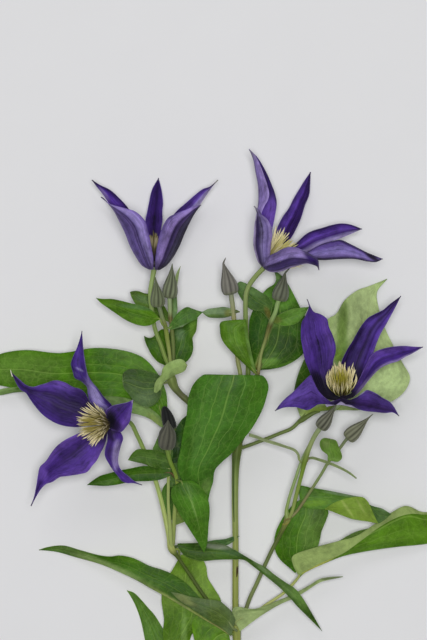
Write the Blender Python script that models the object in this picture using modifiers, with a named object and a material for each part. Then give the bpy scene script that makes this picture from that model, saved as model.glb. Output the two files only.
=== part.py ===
# Clematis: one cut flowering spray, lying down. One branching stem carries four
# open flowers, eight buds and the leaves. +Z is up from the surface it lies on,
# +Y runs from the cut end towards the flowers.
import bpy
import bmesh
import numpy as np
from mathutils import Vector

# ---------------------------------------------------------------- dimensions
UNIT = 0.00058          # one drawing unit of the plan, in metres
PLAN_X, PLAN_Y = 213.5, 320.0   # plan point straight under the drawing's eye
EYE = 2.0               # height of the drawing's eye, metres
EYE_REF = 0.035         # height at which the plan is true to scale, metres
SHIFT = (-0.0026, -0.0873)      # brings the middle of the outline to the origin
BLADE = 0.0008          # thickness of a leaf
SEPAL = 0.0008          # thickness of a sepal
ROWS, COLS = 8, 4       # facets along and across a blade

NAME = "clematis"

for o in list(bpy.data.objects):
    bpy.data.objects.remove(o, do_unlink=True)
parts = bpy.data.collections.new(NAME)
bpy.context.scene.collection.children.link(parts)


# ---------------------------------------------------------------- helpers
def place(p):
    """Plan point (across, down, height in mm) to metres."""
    h = p[2] * 0.001
    k = UNIT * (1.0 - (h - EYE_REF) / EYE)
    return Vector(((p[0] - PLAN_X) * k - SHIFT[0], (PLAN_Y - p[1]) * k - SHIFT[1], h))


def spline(pts, n):
    """n points evenly spaced along a smooth curve through pts."""
    p = np.array(pts, dtype=float)
    if p.ndim == 1:
        p = p[:, None]
    if len(p) == 1:
        return np.repeat(p, n, axis=0)
    ext = np.vstack([2 * p[0] - p[1], p, 2 * p[-1] - p[-2]])
    fine = []
    u = np.linspace(0.0, 1.0, 9)[:-1, None]
    for i in range(len(p) - 1):
        a, b, c, d = ext[i], ext[i + 1], ext[i + 2], ext[i + 3]
        l = np.sqrt(max(np.linalg.norm(c - b), 1e-9))
        la = np.sqrt(max(np.linalg.norm(b - a), 1e-9))
        lc = np.sqrt(max(np.linalg.norm(d - c), 1e-9))
        m1 = (c - b) + l * ((b - a) / la - (c - a) / (la + l))
        m2 = (c - b) + l * ((d - c) / lc - (d - b) / (lc + l))
        fine.append((2 * u**3 - 3 * u**2 + 1) * b + (u**3 - 2 * u**2 + u) * m1
                    + (3 * u**2 - 2 * u**3) * c + (u**3 - u**2) * m2)
    fine = np.vstack(fine + [p[-1:]])
    step = np.linalg.norm(np.diff(fine, axis=0), axis=1)
    s = np.concatenate([[0.0], np.cumsum(step)])
    at = np.linspace(0.0, s[-1], n)
    return np.column_stack([np.interp(at, s, fine[:, k]) for k in range(fine.shape[1])])


def heights(z, n):
    """n heights from a few evenly spaced ones."""
    z = [float(v) for v in (z if hasattr(z, "__len__") else [z])]
    if len(z) == 1:
        return np.full(n, z[0])
    return spline([(i * 20.0, v) for i, v in enumerate(z)], n)[:, 1]


def blade_rows(left, right, z, mid=None, rows=ROWS, tip=2.0, foot=2.6, neck=()):
    """Rows of points (left margin .. midrib .. right margin), foot to tip.
    z is (left, middle, right) heights; neck is a short stalk of
    (across, down, height, width) before the foot."""
    n = rows + 1
    a, b = spline(left, n), spline(right, n)
    c = spline(mid, n) if mid is not None else (a + b) / 2
    za, zc, zb = (heights(v, n) for v in (z if isinstance(z, tuple) else (z, z, z)))
    out = []
    for i in range(n):
        need = foot if i == 0 else tip if i == n - 1 else 1.6
        w = b[i] - a[i]
        d = np.linalg.norm(w)
        if d < need:
            along = c[min(i + 1, n - 1)] - c[max(i - 1, 0)]
            side = np.array([-along[1], along[0]]) / max(np.linalg.norm(along), 1e-6)
            if d > 0.05 and np.dot(side, w) < 0:
                side = -side
            if d <= 0.05 and out:
                ref = out[-1][-1][:2] - out[-1][0][:2]
                if np.dot(side, ref) < 0:
                    side = -side
            a[i], b[i] = c[i] - side * need / 2, c[i] + side * need / 2
        L = np.array([*a[i], za[i]])
        M = np.array([*c[i], zc[i]])
        R = np.array([*b[i], zb[i]])
        s = np.linspace(-1, 1, COLS + 1)[:, None]
        out.append(M + s * (R - L) / 2 + s**2 * ((R + L) / 2 - M))
    pre = []
    for i, (x, y, h, w) in enumerate(neck):
        nx, ny = neck[i + 1][:2] if i + 1 < len(neck) else out[0].mean(axis=0)[:2]
        px_, py_ = neck[i - 1][:2] if i else (x, y)
        t = np.array([nx - px_, ny - py_])
        side = np.array([-t[1], t[0]]) / max(np.linalg.norm(t), 1e-6)
        ref = out[0][-1][:2] - out[0][0][:2]
        if np.dot(side, ref) < 0:
            side = -side
        s = np.linspace(-1, 1, COLS + 1)[:, None]
        pre.append(np.array([x, y, h]) + s * np.array([*side, 0.0]) * w / 2)
    return pre + out


def material(name, rgb, rough):
    m = bpy.data.materials.new(name)
    m.use_nodes = True
    b = m.node_tree.nodes["Principled BSDF"]
    b.inputs["Base Color"].default_value = (*rgb, 1.0)
    b.inputs["Roughness"].default_value = rough
    b.inputs["Metallic"].default_value = 0.0
    return m


def finish_object(name, data, rgb, rough):
    obj = bpy.data.objects.new(name, data)
    parts.objects.link(obj)
    obj.data.materials.append(material(name, rgb, rough))
    return obj


def sheet(name, rows, thick, rgb, rough=0.5):
    """A thin curved piece: a grid placed row by row, then given its thickness."""
    nr, nc = len(rows) - 1, len(rows[0]) - 1
    bm = bmesh.new()
    bmesh.ops.create_grid(bm, x_segments=nc, y_segments=nr, size=1.0)
    for v in bm.verts:
        j = int(round((v.co.x + 1) / 2 * nc))
        i = int(round((v.co.y + 1) / 2 * nr))
        v.co = place(rows[i][j])
    me = bpy.data.meshes.new(name)
    bm.to_mesh(me)
    bm.free()
    me.shade_smooth()
    obj = finish_object(name, me, rgb, rough)
    s = obj.modifiers.new("thickness", 'SOLIDIFY')
    s.thickness = thick
    s.offset = 0.0
    return obj


def joined(a, b):
    """Two blades of one pair as one strip: in from the first tip, out to the second."""
    a = [r for r in reversed(a)]
    same = np.linalg.norm(a[-1][0] - b[0][0]) + np.linalg.norm(a[-1][-1] - b[0][-1])
    swap = np.linalg.norm(a[-1][-1] - b[0][0]) + np.linalg.norm(a[-1][0] - b[0][-1])
    if swap < same:
        a = [r[::-1] for r in a]
    return a + b


LEAF = (0.05, 0.17, 0.02)
LEAF_PALE = (0.27, 0.40, 0.12)
VIOLET = (0.05, 0.015, 0.22)
STEM = (0.25, 0.35, 0.10)
BUD = (0.16, 0.15, 0.13)
STAMEN = (0.62, 0.56, 0.28)


def leaf(name, *blades, rgb=LEAF):
    rows = blades[0] if len(blades) == 1 else joined(*blades)
    return sheet(name, rows, BLADE, rgb)


def sepal(name, left, right, z, mid=None, rows=7):
    return sheet(name, blade_rows(left, right, z, mid, rows=rows, tip=1.6, foot=4.0),
                 SEPAL, VIOLET, 0.45)


def tube(name, pts, rgb=STEM, sides=2, count=None):
    """A stem: (across, down, height, diameter in mm) points, smoothed."""
    p = spline(pts, count or 2 * len(pts)) if count != 0 else np.array(pts)
    cu = bpy.data.curves.new(name, 'CURVE')
    cu.dimensions = '3D'
    cu.bevel_depth = 0.001
    cu.bevel_resolution = sides
    cu.use_fill_caps = True
    cu.render_resolution_u = 0
    sp = cu.splines.new('POLY')
    sp.points.add(len(p) - 1)
    for q, v in zip(sp.points, p):
        q.co = (*place(v), 1.0)
        q.radius = v[3] / 2
    return finish_object(name, cu, rgb, 0.5)


# share of the greatest radius at each share of a bud's length, foot to tip
BUD_SHAPE = ((0.0, 0.42), (0.04, 0.78), (0.12, 0.95), (0.24, 1.0), (0.38, 0.93), (0.52, 0.76),
             (0.66, 0.55), (0.79, 0.34), (0.9, 0.18), (1.0, 0.10))


def bud(name, stalk, base, tip, width, hook=None):
    """A pointed bud on its stalk; width in mm."""
    p = [tuple(v) for v in spline(stalk, max(4, int(1.5 * len(stalk))))]
    a, b = np.array(base, float), np.array(tip, float)
    p = p[:-1] if np.linalg.norm(np.array(p[-1][:2]) - a[:2]) < 2 else p
    for f, r in BUD_SHAPE:
        q = a + (b - a) * f
        p.append((*q, max(width * r, 0.5)))
    if hook:
        p.append((*hook, 0.4))
    return tube(name, p, BUD, sides=3, count=0)


def stamens(name, foot, head, width, spread=1.0):
    """The tuft of stamens as one spiky closed body from foot to head."""
    a, b = place(foot), place(head)
    axis = (b - a)
    q = axis.to_track_quat('Z', 'Y')
    L = axis.length
    bm = bmesh.new()
    bmesh.ops.create_uvsphere(bm, u_segments=16, v_segments=8, radius=1.0)
    for v in bm.verts:
        h = (v.co.z + 1) / 2                    # 0 at the foot, 1 at the head
        k = int(round(np.degrees(np.arctan2(v.co.y, v.co.x)) / 22.5))
        r = np.hypot(v.co.x, v.co.y)
        belly = 0.25 + 0.75 * min(1.0, h * 1.6)
        spike = 1.0 + (0.14 if k % 2 else -0.10) * min(1.0, h * 2) * spread
        rr = r * width * 0.0005 * belly * spike
        ang = np.arctan2(v.co.y, v.co.x)
        v.co = a + q @ Vector((rr * np.cos(ang), rr * np.sin(ang), L * h ** 0.8))
    me = bpy.data.meshes.new(name)
    bm.to_mesh(me)
    bm.free()
    me.shade_smooth()
    return finish_object(name, me, STAMEN, 0.7)


# ---------------------------------------------------------------- stems
tube("stem_main", [
    (239, 785, 2.25, 4.4), (238, 740, 3.2, 4.3), (237.5, 700, 5.0, 4.2), (237.5, 665, 8.0, 4.1),
    (237, 643, 10.2, 4.4), (236.5, 631, 11.2, 5.0), (236, 619, 12.0, 4.1), (235.5, 607, 12.8, 3.7),
    (235.5, 570, 15.0, 3.6), (235.5, 540, 16.5, 3.6), (235, 500, 18.5, 3.8), (235.5, 470, 20.0, 4.3),
    (236.5, 455, 21.0, 5.4), (237.5, 447, 21.5, 5.8), (240, 432, 22.5, 3.5), (243, 410, 23.5, 3.2),
    (248, 375, 25.0, 2.9), (247, 345, 26.0, 2.8), (245.7, 320, 27.0, 2.8), (245.5, 303, 28.5, 2.7),
    (246.5, 292, 30.0, 2.7), (250, 284, 31.5, 2.7), (256, 276, 33.0, 2.7), (263, 268.5, 34.5, 2.9)],
    count=30)
tube("stem_left", [
    (228, 623, 13.5, 2.3), (222, 616, 14.0, 2.3), (205, 597, 16.0, 2.3), (190, 575, 18.0, 2.3),
    (177, 556, 20.0, 2.5), (171.5, 549, 20.5, 3.6), (169, 538, 21.0, 2.8), (166, 520, 22.0, 2.5),
    (162, 500, 24.0, 2.4), (156, 481, 26.0, 2.4), (149.5, 465, 28.0, 2.4), (143, 449, 31.5, 2.4),
    (137, 435, 36.0, 2.4), (131.5, 424, 41.0, 2.4), (127, 421, 44.5, 2.5), (119, 423, 48.5, 2.9)],
    count=22)
tube("stem_right", [
    (241.5, 621, 10.2, 2.2), (246, 609, 12.0, 2.3), (250, 598, 13.5, 2.3), (257, 583, 15.0, 2.3),
    (265, 565, 17.0, 2.3), (273, 548, 19.0, 2.3), (280, 535, 21.0, 2.4), (285, 525, 23.0, 2.8),
    (287.5, 519, 24.0, 3.8), (286.5, 511, 24.5, 2.2), (287.5, 503, 25.5, 1.9), (290.5, 491, 27.0, 1.9),
    (295, 478, 28.5, 1.9), (299, 467, 30.0, 1.9), (304, 456, 31.0, 2.0), (311, 443, 32.0, 2.0),
    (320, 428, 33.5, 2.1), (329, 415, 35.5, 2.2), (336, 407, 37.0, 2.4), (340, 403, 38.2, 2.8)],
    count=26)
tube("stem_upper_left", [
    (231, 439, 20.2, 3.4), (215, 428, 22.0, 3.6), (200, 415, 24.0, 3.7), (188, 402, 26.0, 3.7),
    (181, 394, 27.0, 3.7), (175, 386, 28.0, 3.9), (172.5, 377, 29.0, 4.3), (169, 367, 30.0, 2.8),
    (165, 357, 31.0, 2.5), (161, 345, 32.0, 2.5), (157, 335, 32.6, 2.5), (154, 325, 33.0, 2.5),
    (152, 310, 33.5, 2.6), (149.5, 300, 34.0, 2.6), (149, 291, 34.0, 2.6), (151, 280, 34.0, 2.6),
    (153.5, 271.5, 34.0, 2.9)], count=22)

# ---------------------------------------------------------------- buds on their stalks
bud("bud_1", [(171.2, 368, 32.9, 1.9), (170.2, 360, 33.6, 2.2), (169, 350, 34.5, 2.3), (167.5, 340, 36.0, 2.5),
              (165.5, 327, 38.0, 2.8), (162, 317, 39.5, 2.4), (159.5, 308, 41.0, 2.4)],
    (159, 306.5, 41.2), (155.3, 277, 44.0), 7.2)
bud("bud_2", [(175.2, 366, 30.8, 2.0), (174.8, 345, 33.0, 2.2), (173, 330, 34.2, 2.2), (171.0, 318, 35.0, 2.3),
              (170, 300, 35.6, 2.4)], (170, 298, 35.8), (172.5, 264, 37.5), 8.8)
bud("bud_3", [(237, 433, 27.0, 2.1), (239, 405, 28.5, 2.2), (240.5, 376, 30.0, 2.5), (238, 362, 30.5, 2.5),
              (236, 345, 31.5, 2.5), (234, 320, 32.5, 2.6), (232.5, 305, 33.5, 2.6), (231.3, 296, 34.0, 2.6)],
    (231, 294, 34.2), (223.3, 261.5, 36.0), 8.9, hook=(225.5, 259, 36.2))
bud("bud_4", [(246, 431, 25.8, 2.0), (251, 408, 27.0, 2.2), (256, 385, 28.0, 2.4), (258, 374, 29.0, 2.8),
              (262, 355, 30.5, 2.4), (266, 342, 31.5, 2.4), (270, 324, 33.0, 3.0), (274, 314, 34.5, 2.5),
              (278, 302, 36.0, 2.5)], (278.8, 300, 36.2), (291, 269.5, 38.0), 9.0)
bud("bud_5", [(292, 512, 27.8, 2.0), (294.5, 499, 30.0, 2.3), (297.5, 486, 32.5, 2.3), (301, 473, 35.0, 2.4),
              (303.8, 462, 37.5, 3.1), (307.5, 449, 40.5, 2.8), (312.5, 438, 43.5, 2.7), (318.5, 429, 46.5, 2.8)],
    (319.5, 428, 47.0), (336.5, 404.5, 51.0), 7.0)
bud("bud_6", [(295.5, 513, 23.6, 1.9), (300, 507, 24.5, 2.1), (308, 495, 27.0, 2.2), (315, 484, 29.0, 2.2),
              (322, 473, 31.0, 2.2), (329, 461, 32.5, 2.4), (335, 454, 33.5, 2.2), (340, 448, 34.5, 2.2),
              (345.5, 440.5, 36.0, 2.3)], (347, 439, 36.2), (371.5, 415.5, 38.0), 8.2)
bud("bud_7", [(176, 541, 20.2, 1.9), (175.5, 528, 22.6, 2.1), (176.3, 505, 27.0, 2.3), (177.3, 486, 30.0, 2.3),
              (176.5, 478, 31.6, 2.3), (173.5, 469, 34.4, 2.4), (170, 461, 37.0, 2.5), (167.5, 451, 39.4, 2.8)],
    (167.3, 449.5, 39.8), (168, 421, 47.0), 9.4)
bud("bud_8", [(172, 535, 24.6, 1.7), (171.3, 520, 27.0, 1.8), (169.5, 505, 28.5, 1.8), (168.3, 490, 29.4, 1.8),
              (168.4, 478, 30.0, 1.8), (169, 460, 31.0, 1.9), (170.5, 446, 32.0, 1.9), (172, 433, 33.0, 2.2)],
    (172, 431, 33.2), (163, 406.5, 34.5), 7.4)

# ---------------------------------------------------------------- flower a: goblet, opens towards +Y
sepal("flower_a_sepal_1", [(149.5, 267), (138, 254), (126, 236), (115, 218), (106, 203), (101, 192), (97, 187), (92, 180)],
      [(152.3, 262), (146, 245), (139, 228), (128, 208), (120, 199), (110, 190), (100, 185), (92, 180)],
      ([30, 26, 23, 21, 21], [29.5, 22, 18, 17, 20], [30, 25, 22, 21, 21]))
sepal("flower_a_sepal_2", [(148.5, 267), (142, 264), (136, 257), (130, 246), (125, 233), (120, 223), (115, 213), (110, 206), (104, 199), (101, 197)],
      [(152.3, 266), (152.8, 258), (152, 250), (150, 240), (147.5, 229), (145, 221), (136, 212), (128, 209), (120, 207), (110, 204), (101, 197)],
      ([36.5, 38, 42, 48, 54, 58], [38, 45, 51, 55, 58, 60], [38, 46, 50, 54, 57, 60]))
sepal("flower_a_sepal_3", [(152.4, 264), (149, 250), (147, 238), (146, 226), (145.5, 220), (147, 213), (149, 203), (152, 190), (158.5, 178)],
      [(156.5, 264), (158, 250), (160, 236), (161.5, 226), (162.5, 220), (162.3, 211), (163, 203), (161.5, 190), (158.5, 178)],
      ([28.6, 25, 19.5, 14, 8, 1], [27.2, 21.5, 15, 8.5, 3.5, 0.4], [28.6, 25, 19.5, 14, 8, 1]))
sepal("flower_a_sepal_4", [(156, 266), (156.2, 256), (158, 242), (161, 231), (168, 218), (175, 214), (185, 210), (195, 206), (201, 205)],
      [(159.8, 268.5), (167, 264), (173, 257), (179, 247), (184, 235), (190, 222), (195, 213), (201, 205)],
      ([38, 46, 52, 57, 61, 64], [38.5, 47, 54, 59, 62, 64], [36.5, 39, 45, 52, 59, 64]))
sepal("flower_a_sepal_5", [(156.8, 262), (160, 245), (166, 228), (175, 213), (187, 202), (195, 195), (203, 189), (209, 187), (218, 180)],
      [(159.5, 266), (165, 256), (174, 240), (184, 226), (195, 211), (201, 203), (205, 197), (210, 190), (218, 180)],
      ([30, 26, 23, 21, 21], [29.5, 22, 18, 17, 20], [30, 25, 22, 21, 21]))
stamens("flower_a_stamens", (154.3, 262, 33.5), (154.3, 231, 36.0), 9.0)

# ---------------------------------------------------------------- flower b: tilted, opens towards +X +Y
sepal("flower_b_sepal_1", [(263.5, 258), (264, 240), (264, 222), (266, 207), (269, 195), (266, 185), (262, 172), (258, 161), (254, 154), (249, 149)],
      [(265, 257), (269, 243), (273, 228), (276, 210), (275.5, 200), (271, 187), (265, 175), (259.5, 163), (255, 155), (249, 149)],
      ([34, 37, 39, 39, 37, 34], [33.5, 32, 32, 32, 32.5, 33], [32, 28, 26, 26, 28, 32]),
      mid=[(260.5, 258), (256.5, 240), (257, 222), (259, 207), (259, 195), (258.5, 185), (256, 172), (254, 161), (251.5, 154), (249, 149)])
sepal("flower_b_sepal_2", [(259.5, 263), (257, 259), (255, 253), (253.5, 245), (254, 232), (255, 222), (257, 215), (255.5, 209), (254, 206)],
      [(263.5, 262.5), (267, 257), (269, 250), (271, 243), (272, 235), (271, 226), (267, 219), (262, 215), (259, 210), (254, 206)],
      ([37.5, 43, 48, 53, 58, 62], [39, 47, 53, 57, 60, 62], [38.5, 45, 50, 55, 59, 62]))
sepal("flower_b_sepal_3", [(267.5, 257), (270, 245), (275, 233), (282, 218), (289, 208), (294, 198), (300, 188), (305, 180), (310.5, 172)],
      [(270.5, 260), (280, 250), (291, 238), (297, 227), (301, 218), (305, 205), (309, 195), (310, 185), (310.5, 172)],
      ([31, 26, 20, 14, 8, 1], [29.5, 22, 15, 8.5, 3.5, 0.4], [31, 26, 20, 14, 8, 1]))
sepal("flower_b_sepal_4", [(272, 258.5), (283, 250), (296, 243), (305, 235), (312, 231), (322, 228), (332, 225), (341, 223.5), (350, 224.5), (362, 229)],
      [(272, 262.5), (284, 258), (297, 254), (307, 252), (315, 247.5), (328, 242), (338, 239), (348, 235), (362, 229)],
      ([32, 30, 30, 31, 31, 31], [31.5, 27, 26, 26, 28, 30], [32.5, 31, 31, 31, 31, 31]))
sepal("flower_b_sepal_5", [(270, 262.6), (288, 258), (303, 254), (318, 246), (325, 243), (333, 241), (341, 240), (350, 244), (360, 249), (368, 253), (383, 259)],
      [(270, 266.6), (290, 264), (305, 261), (318, 260), (325, 260), (340, 259), (355, 259), (368, 261.5), (376, 262), (383, 259)],
      ([36, 38, 39, 40, 42, 45], [36, 40, 43, 44, 44, 45], [36, 38, 40, 42, 43, 45]))
sepal("flower_b_sepal_6", [(265, 262.5), (270, 256), (277, 252), (285, 248), (293, 247), (300, 249), (308, 253), (315, 257), (318, 260), (319, 270)],
      [(266, 266.5), (269, 270.5), (275, 272), (282, 271), (290, 268), (300, 265), (306, 263.5), (312, 264.5), (317, 266.5), (319, 270)],
      ([40, 50, 57, 62, 64, 60], [42, 52, 60, 66, 67, 60], [41, 46, 53, 60, 63, 60]))
stamens("flower_b_stamens", (268, 259.5, 35.0), (290, 238, 43.5), 9.5)

# ---------------------------------------------------------------- flower c: faces up and towards +Y
sepal("flower_c_sepal_1", [(331.5, 400), (325, 398), (318, 390), (313, 380), (309, 370), (305, 360), (303, 350), (301, 338), (301, 330), (302, 322), (306, 315), (309, 305), (307, 299)],
      [(335.5, 395), (335, 385), (334, 375), (333, 362), (335.5, 352), (335.5, 345), (333, 336), (329, 327), (327, 319), (320, 314), (314, 312), (310, 306), (307, 299)],
      ([42, 41.5, 43, 45, 46, 45], [41.5, 38.5, 40, 43, 45, 45], [42, 40.5, 42, 44, 46, 45]), rows=9)
sepal("flower_c_sepal_2", [(341, 393), (340, 380), (341, 364), (347, 350), (352, 342), (357, 333), (362, 325), (368, 318), (375, 314), (384, 310), (391, 304), (401, 296)],
      [(347, 394), (356, 389), (365, 380), (368, 372), (371, 361), (373, 354), (376, 345), (380, 335), (385, 325), (390, 315), (395, 308), (401, 296)],
      ([39.5, 39, 40, 42, 42, 40], [38.5, 35.5, 36.5, 39, 40.5, 40], [39.5, 39, 40, 42, 42, 40]), rows=9)
sepal("flower_c_sepal_3", [(351, 393.5), (360, 380), (367, 364), (374, 356), (378, 353), (385, 350), (395, 348), (405, 347), (415, 347.5), (423, 347)],
      [(353, 397.5), (361, 390), (368, 381), (376, 372), (382, 367), (390, 363.5), (398, 361), (405, 357), (413, 353), (423, 347)],
      ([42.5, 45, 47, 49, 51, 53], [42, 43, 44, 46, 49, 53], [43, 46, 49, 50, 52, 53]))
sepal("flower_c_sepal_4", [(349.5, 400), (357, 397), (362, 393), (367, 390), (372, 391.5), (377, 394), (383, 398), (390, 402), (394, 407), (399, 416)],
      [(346, 404.3), (352, 405.5), (358, 409), (365, 411), (375, 412), (385, 413), (393, 412.5), (399, 416)],
      ([45, 51, 57, 62, 64, 62], [44, 48, 53, 58, 61, 62], [45, 50, 55, 60, 62, 62]))
sepal("flower_c_sepal_5", [(335.5, 405), (325, 404), (318, 404.5), (314, 407), (308, 410), (302, 409), (298, 407.5), (290, 407), (284, 407.5), (275, 411)],
      [(331, 402), (324, 397), (318, 390), (313, 380), (311, 375), (307, 378), (303, 382), (297, 388), (292, 393), (286, 398), (281, 403), (275, 411)],
      ([44.5, 50, 55, 58, 60, 60], [44.5, 49, 53, 57, 59, 60], [46, 51, 55, 58, 60, 60]))
stamens("flower_c_stamens", (341, 398, 43.0), (341, 378, 57.0), 14.0)

# ---------------------------------------------------------------- flower d: faces up and towards -X
sepal("flower_d_sepal_1", [(103.5, 413), (103, 408), (95, 406), (90, 401), (88, 394), (87, 387), (81, 381), (75, 378), (73, 372), (71, 364), (73, 357), (76, 350), (79, 342), (82, 331)],
      [(109, 414), (112, 406), (109, 402), (104, 397), (98, 389), (92, 382), (88, 375), (86, 367), (84, 355), (83, 345), (82, 331)],
      ([55, 59, 60, 57, 53, 49], [53, 56, 56, 54, 52, 49], [54, 57, 57, 56, 53, 49]), rows=9)
sepal("flower_d_sepal_2", [(104, 424), (95, 425.5), (85, 426), (78, 427), (68, 426.5), (58, 424), (50, 420), (42, 414), (35, 406), (30, 399), (26, 393), (20, 389), (11, 372)],
      [(101, 415), (96, 408), (90, 402), (85, 393), (80, 389), (73, 388), (65, 384), (57, 381), (52, 381), (47, 383), (40, 385), (33, 387), (26, 385), (20, 380), (11, 372)],
      ([52, 54, 55, 54, 52, 48], [51.5, 50, 50, 50, 49, 48], [52, 53.5, 53, 53, 51, 48]), rows=9)
sepal("flower_d_sepal_3", [(107, 434.5), (105, 444), (101, 452), (97, 460), (92, 466), (87, 472), (80, 474), (68, 476), (60, 477), (52, 482), (46, 484), (40, 489), (36, 493), (31, 506)],
      [(102, 431), (92, 429.5), (84, 431), (75, 435), (65, 440), (57, 446), (52, 452), (46, 461), (40, 467), (38, 475), (37, 485), (35, 496), (31, 506)],
      ([50.5, 52, 52, 50, 46, 39], [50, 48.5, 48, 46, 42, 38], [51, 52, 52, 50, 46, 39]), rows=9)
sepal("flower_d_sepal_4", [(112.5, 418), (108, 411), (112, 406.5), (120, 404), (127, 402.5), (133, 400)],
      [(116.5, 428), (120, 431), (126, 427), (130, 421), (131, 415), (132, 408), (133, 400)],
      ([54, 63, 69, 72, 73, 73], [52, 56, 61, 66, 70, 73], [53.5, 60, 66, 70, 72, 73]))
sepal("flower_d_sepal_5", [(118, 434.5), (122.5, 439), (121, 445), (119, 453), (118, 460), (119, 466), (122, 471), (128, 476), (134, 481), (142, 485)],
      [(111.5, 435), (109, 442), (106.5, 449), (106, 456), (109, 463), (113, 470), (118, 476), (122, 481), (127, 483), (133, 483), (142, 485)],
      ([53, 56, 57, 55, 51, 46], [51.5, 52, 53, 52, 49, 46], [52.5, 55, 55, 53, 50, 46]))
stamens("flower_d_stamens", (110, 425, 53.5), (92, 422, 66.0), 16.0)

# ---------------------------------------------------------------- leaves of the upper left branch
leaf("leaf_pair_1",     # long leaf to the left, broad one to the right, at the bud node
     blade_rows([(159, 320), (157, 321), (153, 324), (147, 326), (140, 325.5), (132, 323), (124, 319), (116, 313), (108, 306), (100, 301), (96, 298)],
                [(159.5, 317.5), (158, 316.5), (154, 312), (148, 308), (140, 305), (132, 303.5), (122, 301), (112, 299), (103, 299), (96, 298)],
                ([41.5, 39, 37, 33, 29], [42, 38, 36, 32, 29], [41.5, 39.5, 38, 34, 29]), neck=[(162.5, 324.5, 41.3, 2.4)]),
     blade_rows([(169, 326), (172, 321), (176, 315), (180, 311), (187, 307), (192, 308.5), (196, 310), (203, 312)],
                [(170, 330), (176, 328.5), (183, 326), (190, 322), (196, 319), (200, 315), (203, 312)],
                ([41.5, 41, 40, 38.5, 37.5], [41.5, 40, 39, 38, 37.5], [41.5, 40.5, 39.5, 38.5, 37.5]), rows=6))
leaf("leaf_pair_2",     # pair behind the bud stalks, pointing up
     blade_rows([(168.5, 322), (160, 318), (150, 312), (141, 307), (135.5, 304), (133, 300), (131, 296), (130, 292)],
                [(170, 317), (166, 309), (160, 300), (150, 294), (145, 293.5), (138, 291), (133, 291), (130, 292)],
                ([29, 28, 26, 25, 23], [28.5, 27, 25, 24, 23], [29, 28, 27, 25, 23]), rows=6),
     blade_rows([(169, 318), (169, 310), (169.5, 300), (171, 290), (174.5, 280), (177, 272), (180.5, 266)],
                [(173.5, 321), (178, 313), (179, 306), (178.5, 296), (179, 284), (179.5, 275), (180.5, 266)],
                ([28.5, 29, 29, 29, 30], [28.5, 28, 28, 28.5, 30], [28.5, 29, 29.5, 30, 30]), rows=6))
leaf("leaf_pair_3",     # dark pair behind the stalks above the branch node
     blade_rows([(166, 366), (162, 364), (158, 362), (154, 358), (150, 352), (147, 346), (145, 341), (144, 336)],
                [(168.5, 361), (168, 350), (165, 340), (161, 330), (156, 334), (153, 337), (149, 338), (144, 336)],
                ([24.5, 23, 22, 21, 20], [24, 21.5, 21, 20.5, 20], [25, 25, 24, 22, 20]), rows=6),
     blade_rows([(170, 361), (171, 350), (172, 340), (176, 331), (182, 327), (186, 324), (192, 320), (197.5, 318)],
                [(174, 366), (186, 362), (191, 356), (193, 350), (193, 343), (192.5, 338), (196, 331), (197.5, 318)],
                ([25, 25.5, 25, 25, 25.5], [24.5, 22.5, 22, 23, 25.5], [25, 24, 24, 25, 25.5]), rows=7),
     rgb=(0.03, 0.10, 0.015))
leaf("leaf_pair_4",     # dull round leaf to the left and the pale folded one over the node
     blade_rows([(160, 386), (161, 394), (158, 401), (152, 406), (146, 407), (140, 405), (134, 401), (128, 393), (124, 388), (123, 382)],
                [(160, 382), (160, 376), (150, 372), (142, 370), (133, 369), (127, 370), (123, 374), (123, 382)],
                ([34, 34, 33, 32.5, 32], [34, 32.5, 31.5, 31.5, 32], [34, 34, 33, 32.5, 32]), rows=7,
                neck=[(183, 367.5, 35.2, 6.0), (176, 371.5, 34.6, 3.0), (168, 378.5, 34.2, 3.0)]),
     blade_rows([(185.5, 370), (180, 373), (175, 375), (170, 378), (165, 381), (163, 384), (161, 388.5), (156.5, 393)],
                [(184, 361), (180, 359), (172, 361), (168, 363), (163, 368), (161, 375), (156, 381), (154, 388), (154, 392)],
                ([37.5, 38, 38, 38, 37.5], [38.5, 39.5, 39.5, 39, 37.5], [37.5, 38, 38, 38, 37.5]), rows=7),
     rgb=LEAF_PALE)
leaf("leaf_pair_5",     # the largest leaf, far left, and the one under it
     blade_rows([(163.5, 428), (155, 421), (140, 411), (125, 404), (105, 399), (80, 398), (55, 395), (30, 391), (8, 387), (-12, 383), (-30, 375)],
                [(168.5, 424), (167.5, 408), (166, 392), (158, 374), (145, 359), (133, 353), (115, 349), (93, 348), (60, 353), (25, 350), (0, 354), (-16, 362), (-30, 375)],
                ([23, 23, 23, 20, 15, 8, 1], [23, 25, 25, 22, 16, 8, 0.4], [23, 26, 26, 25, 20, 10, 1]), rows=12,
                neck=[(231, 447, 18.6, 3.4), (212, 438, 17.5, 3.0), (190, 431, 18.0, 3.0)]),
     blade_rows([(165, 429), (158, 425), (150, 419), (140, 415), (132, 413), (120, 409), (100, 403), (70, 399), (30, 396), (2, 396)],
                [(167, 425), (160, 415), (150, 407), (132, 402), (112, 397), (90, 393), (60, 390), (30, 388), (2, 394)],
                ([18.5, 17.5, 16.5, 14.5, 11.5, 6], [18, 16, 15, 13, 10, 6], [18.5, 18, 17, 15, 12, 6]), rows=9))

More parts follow.
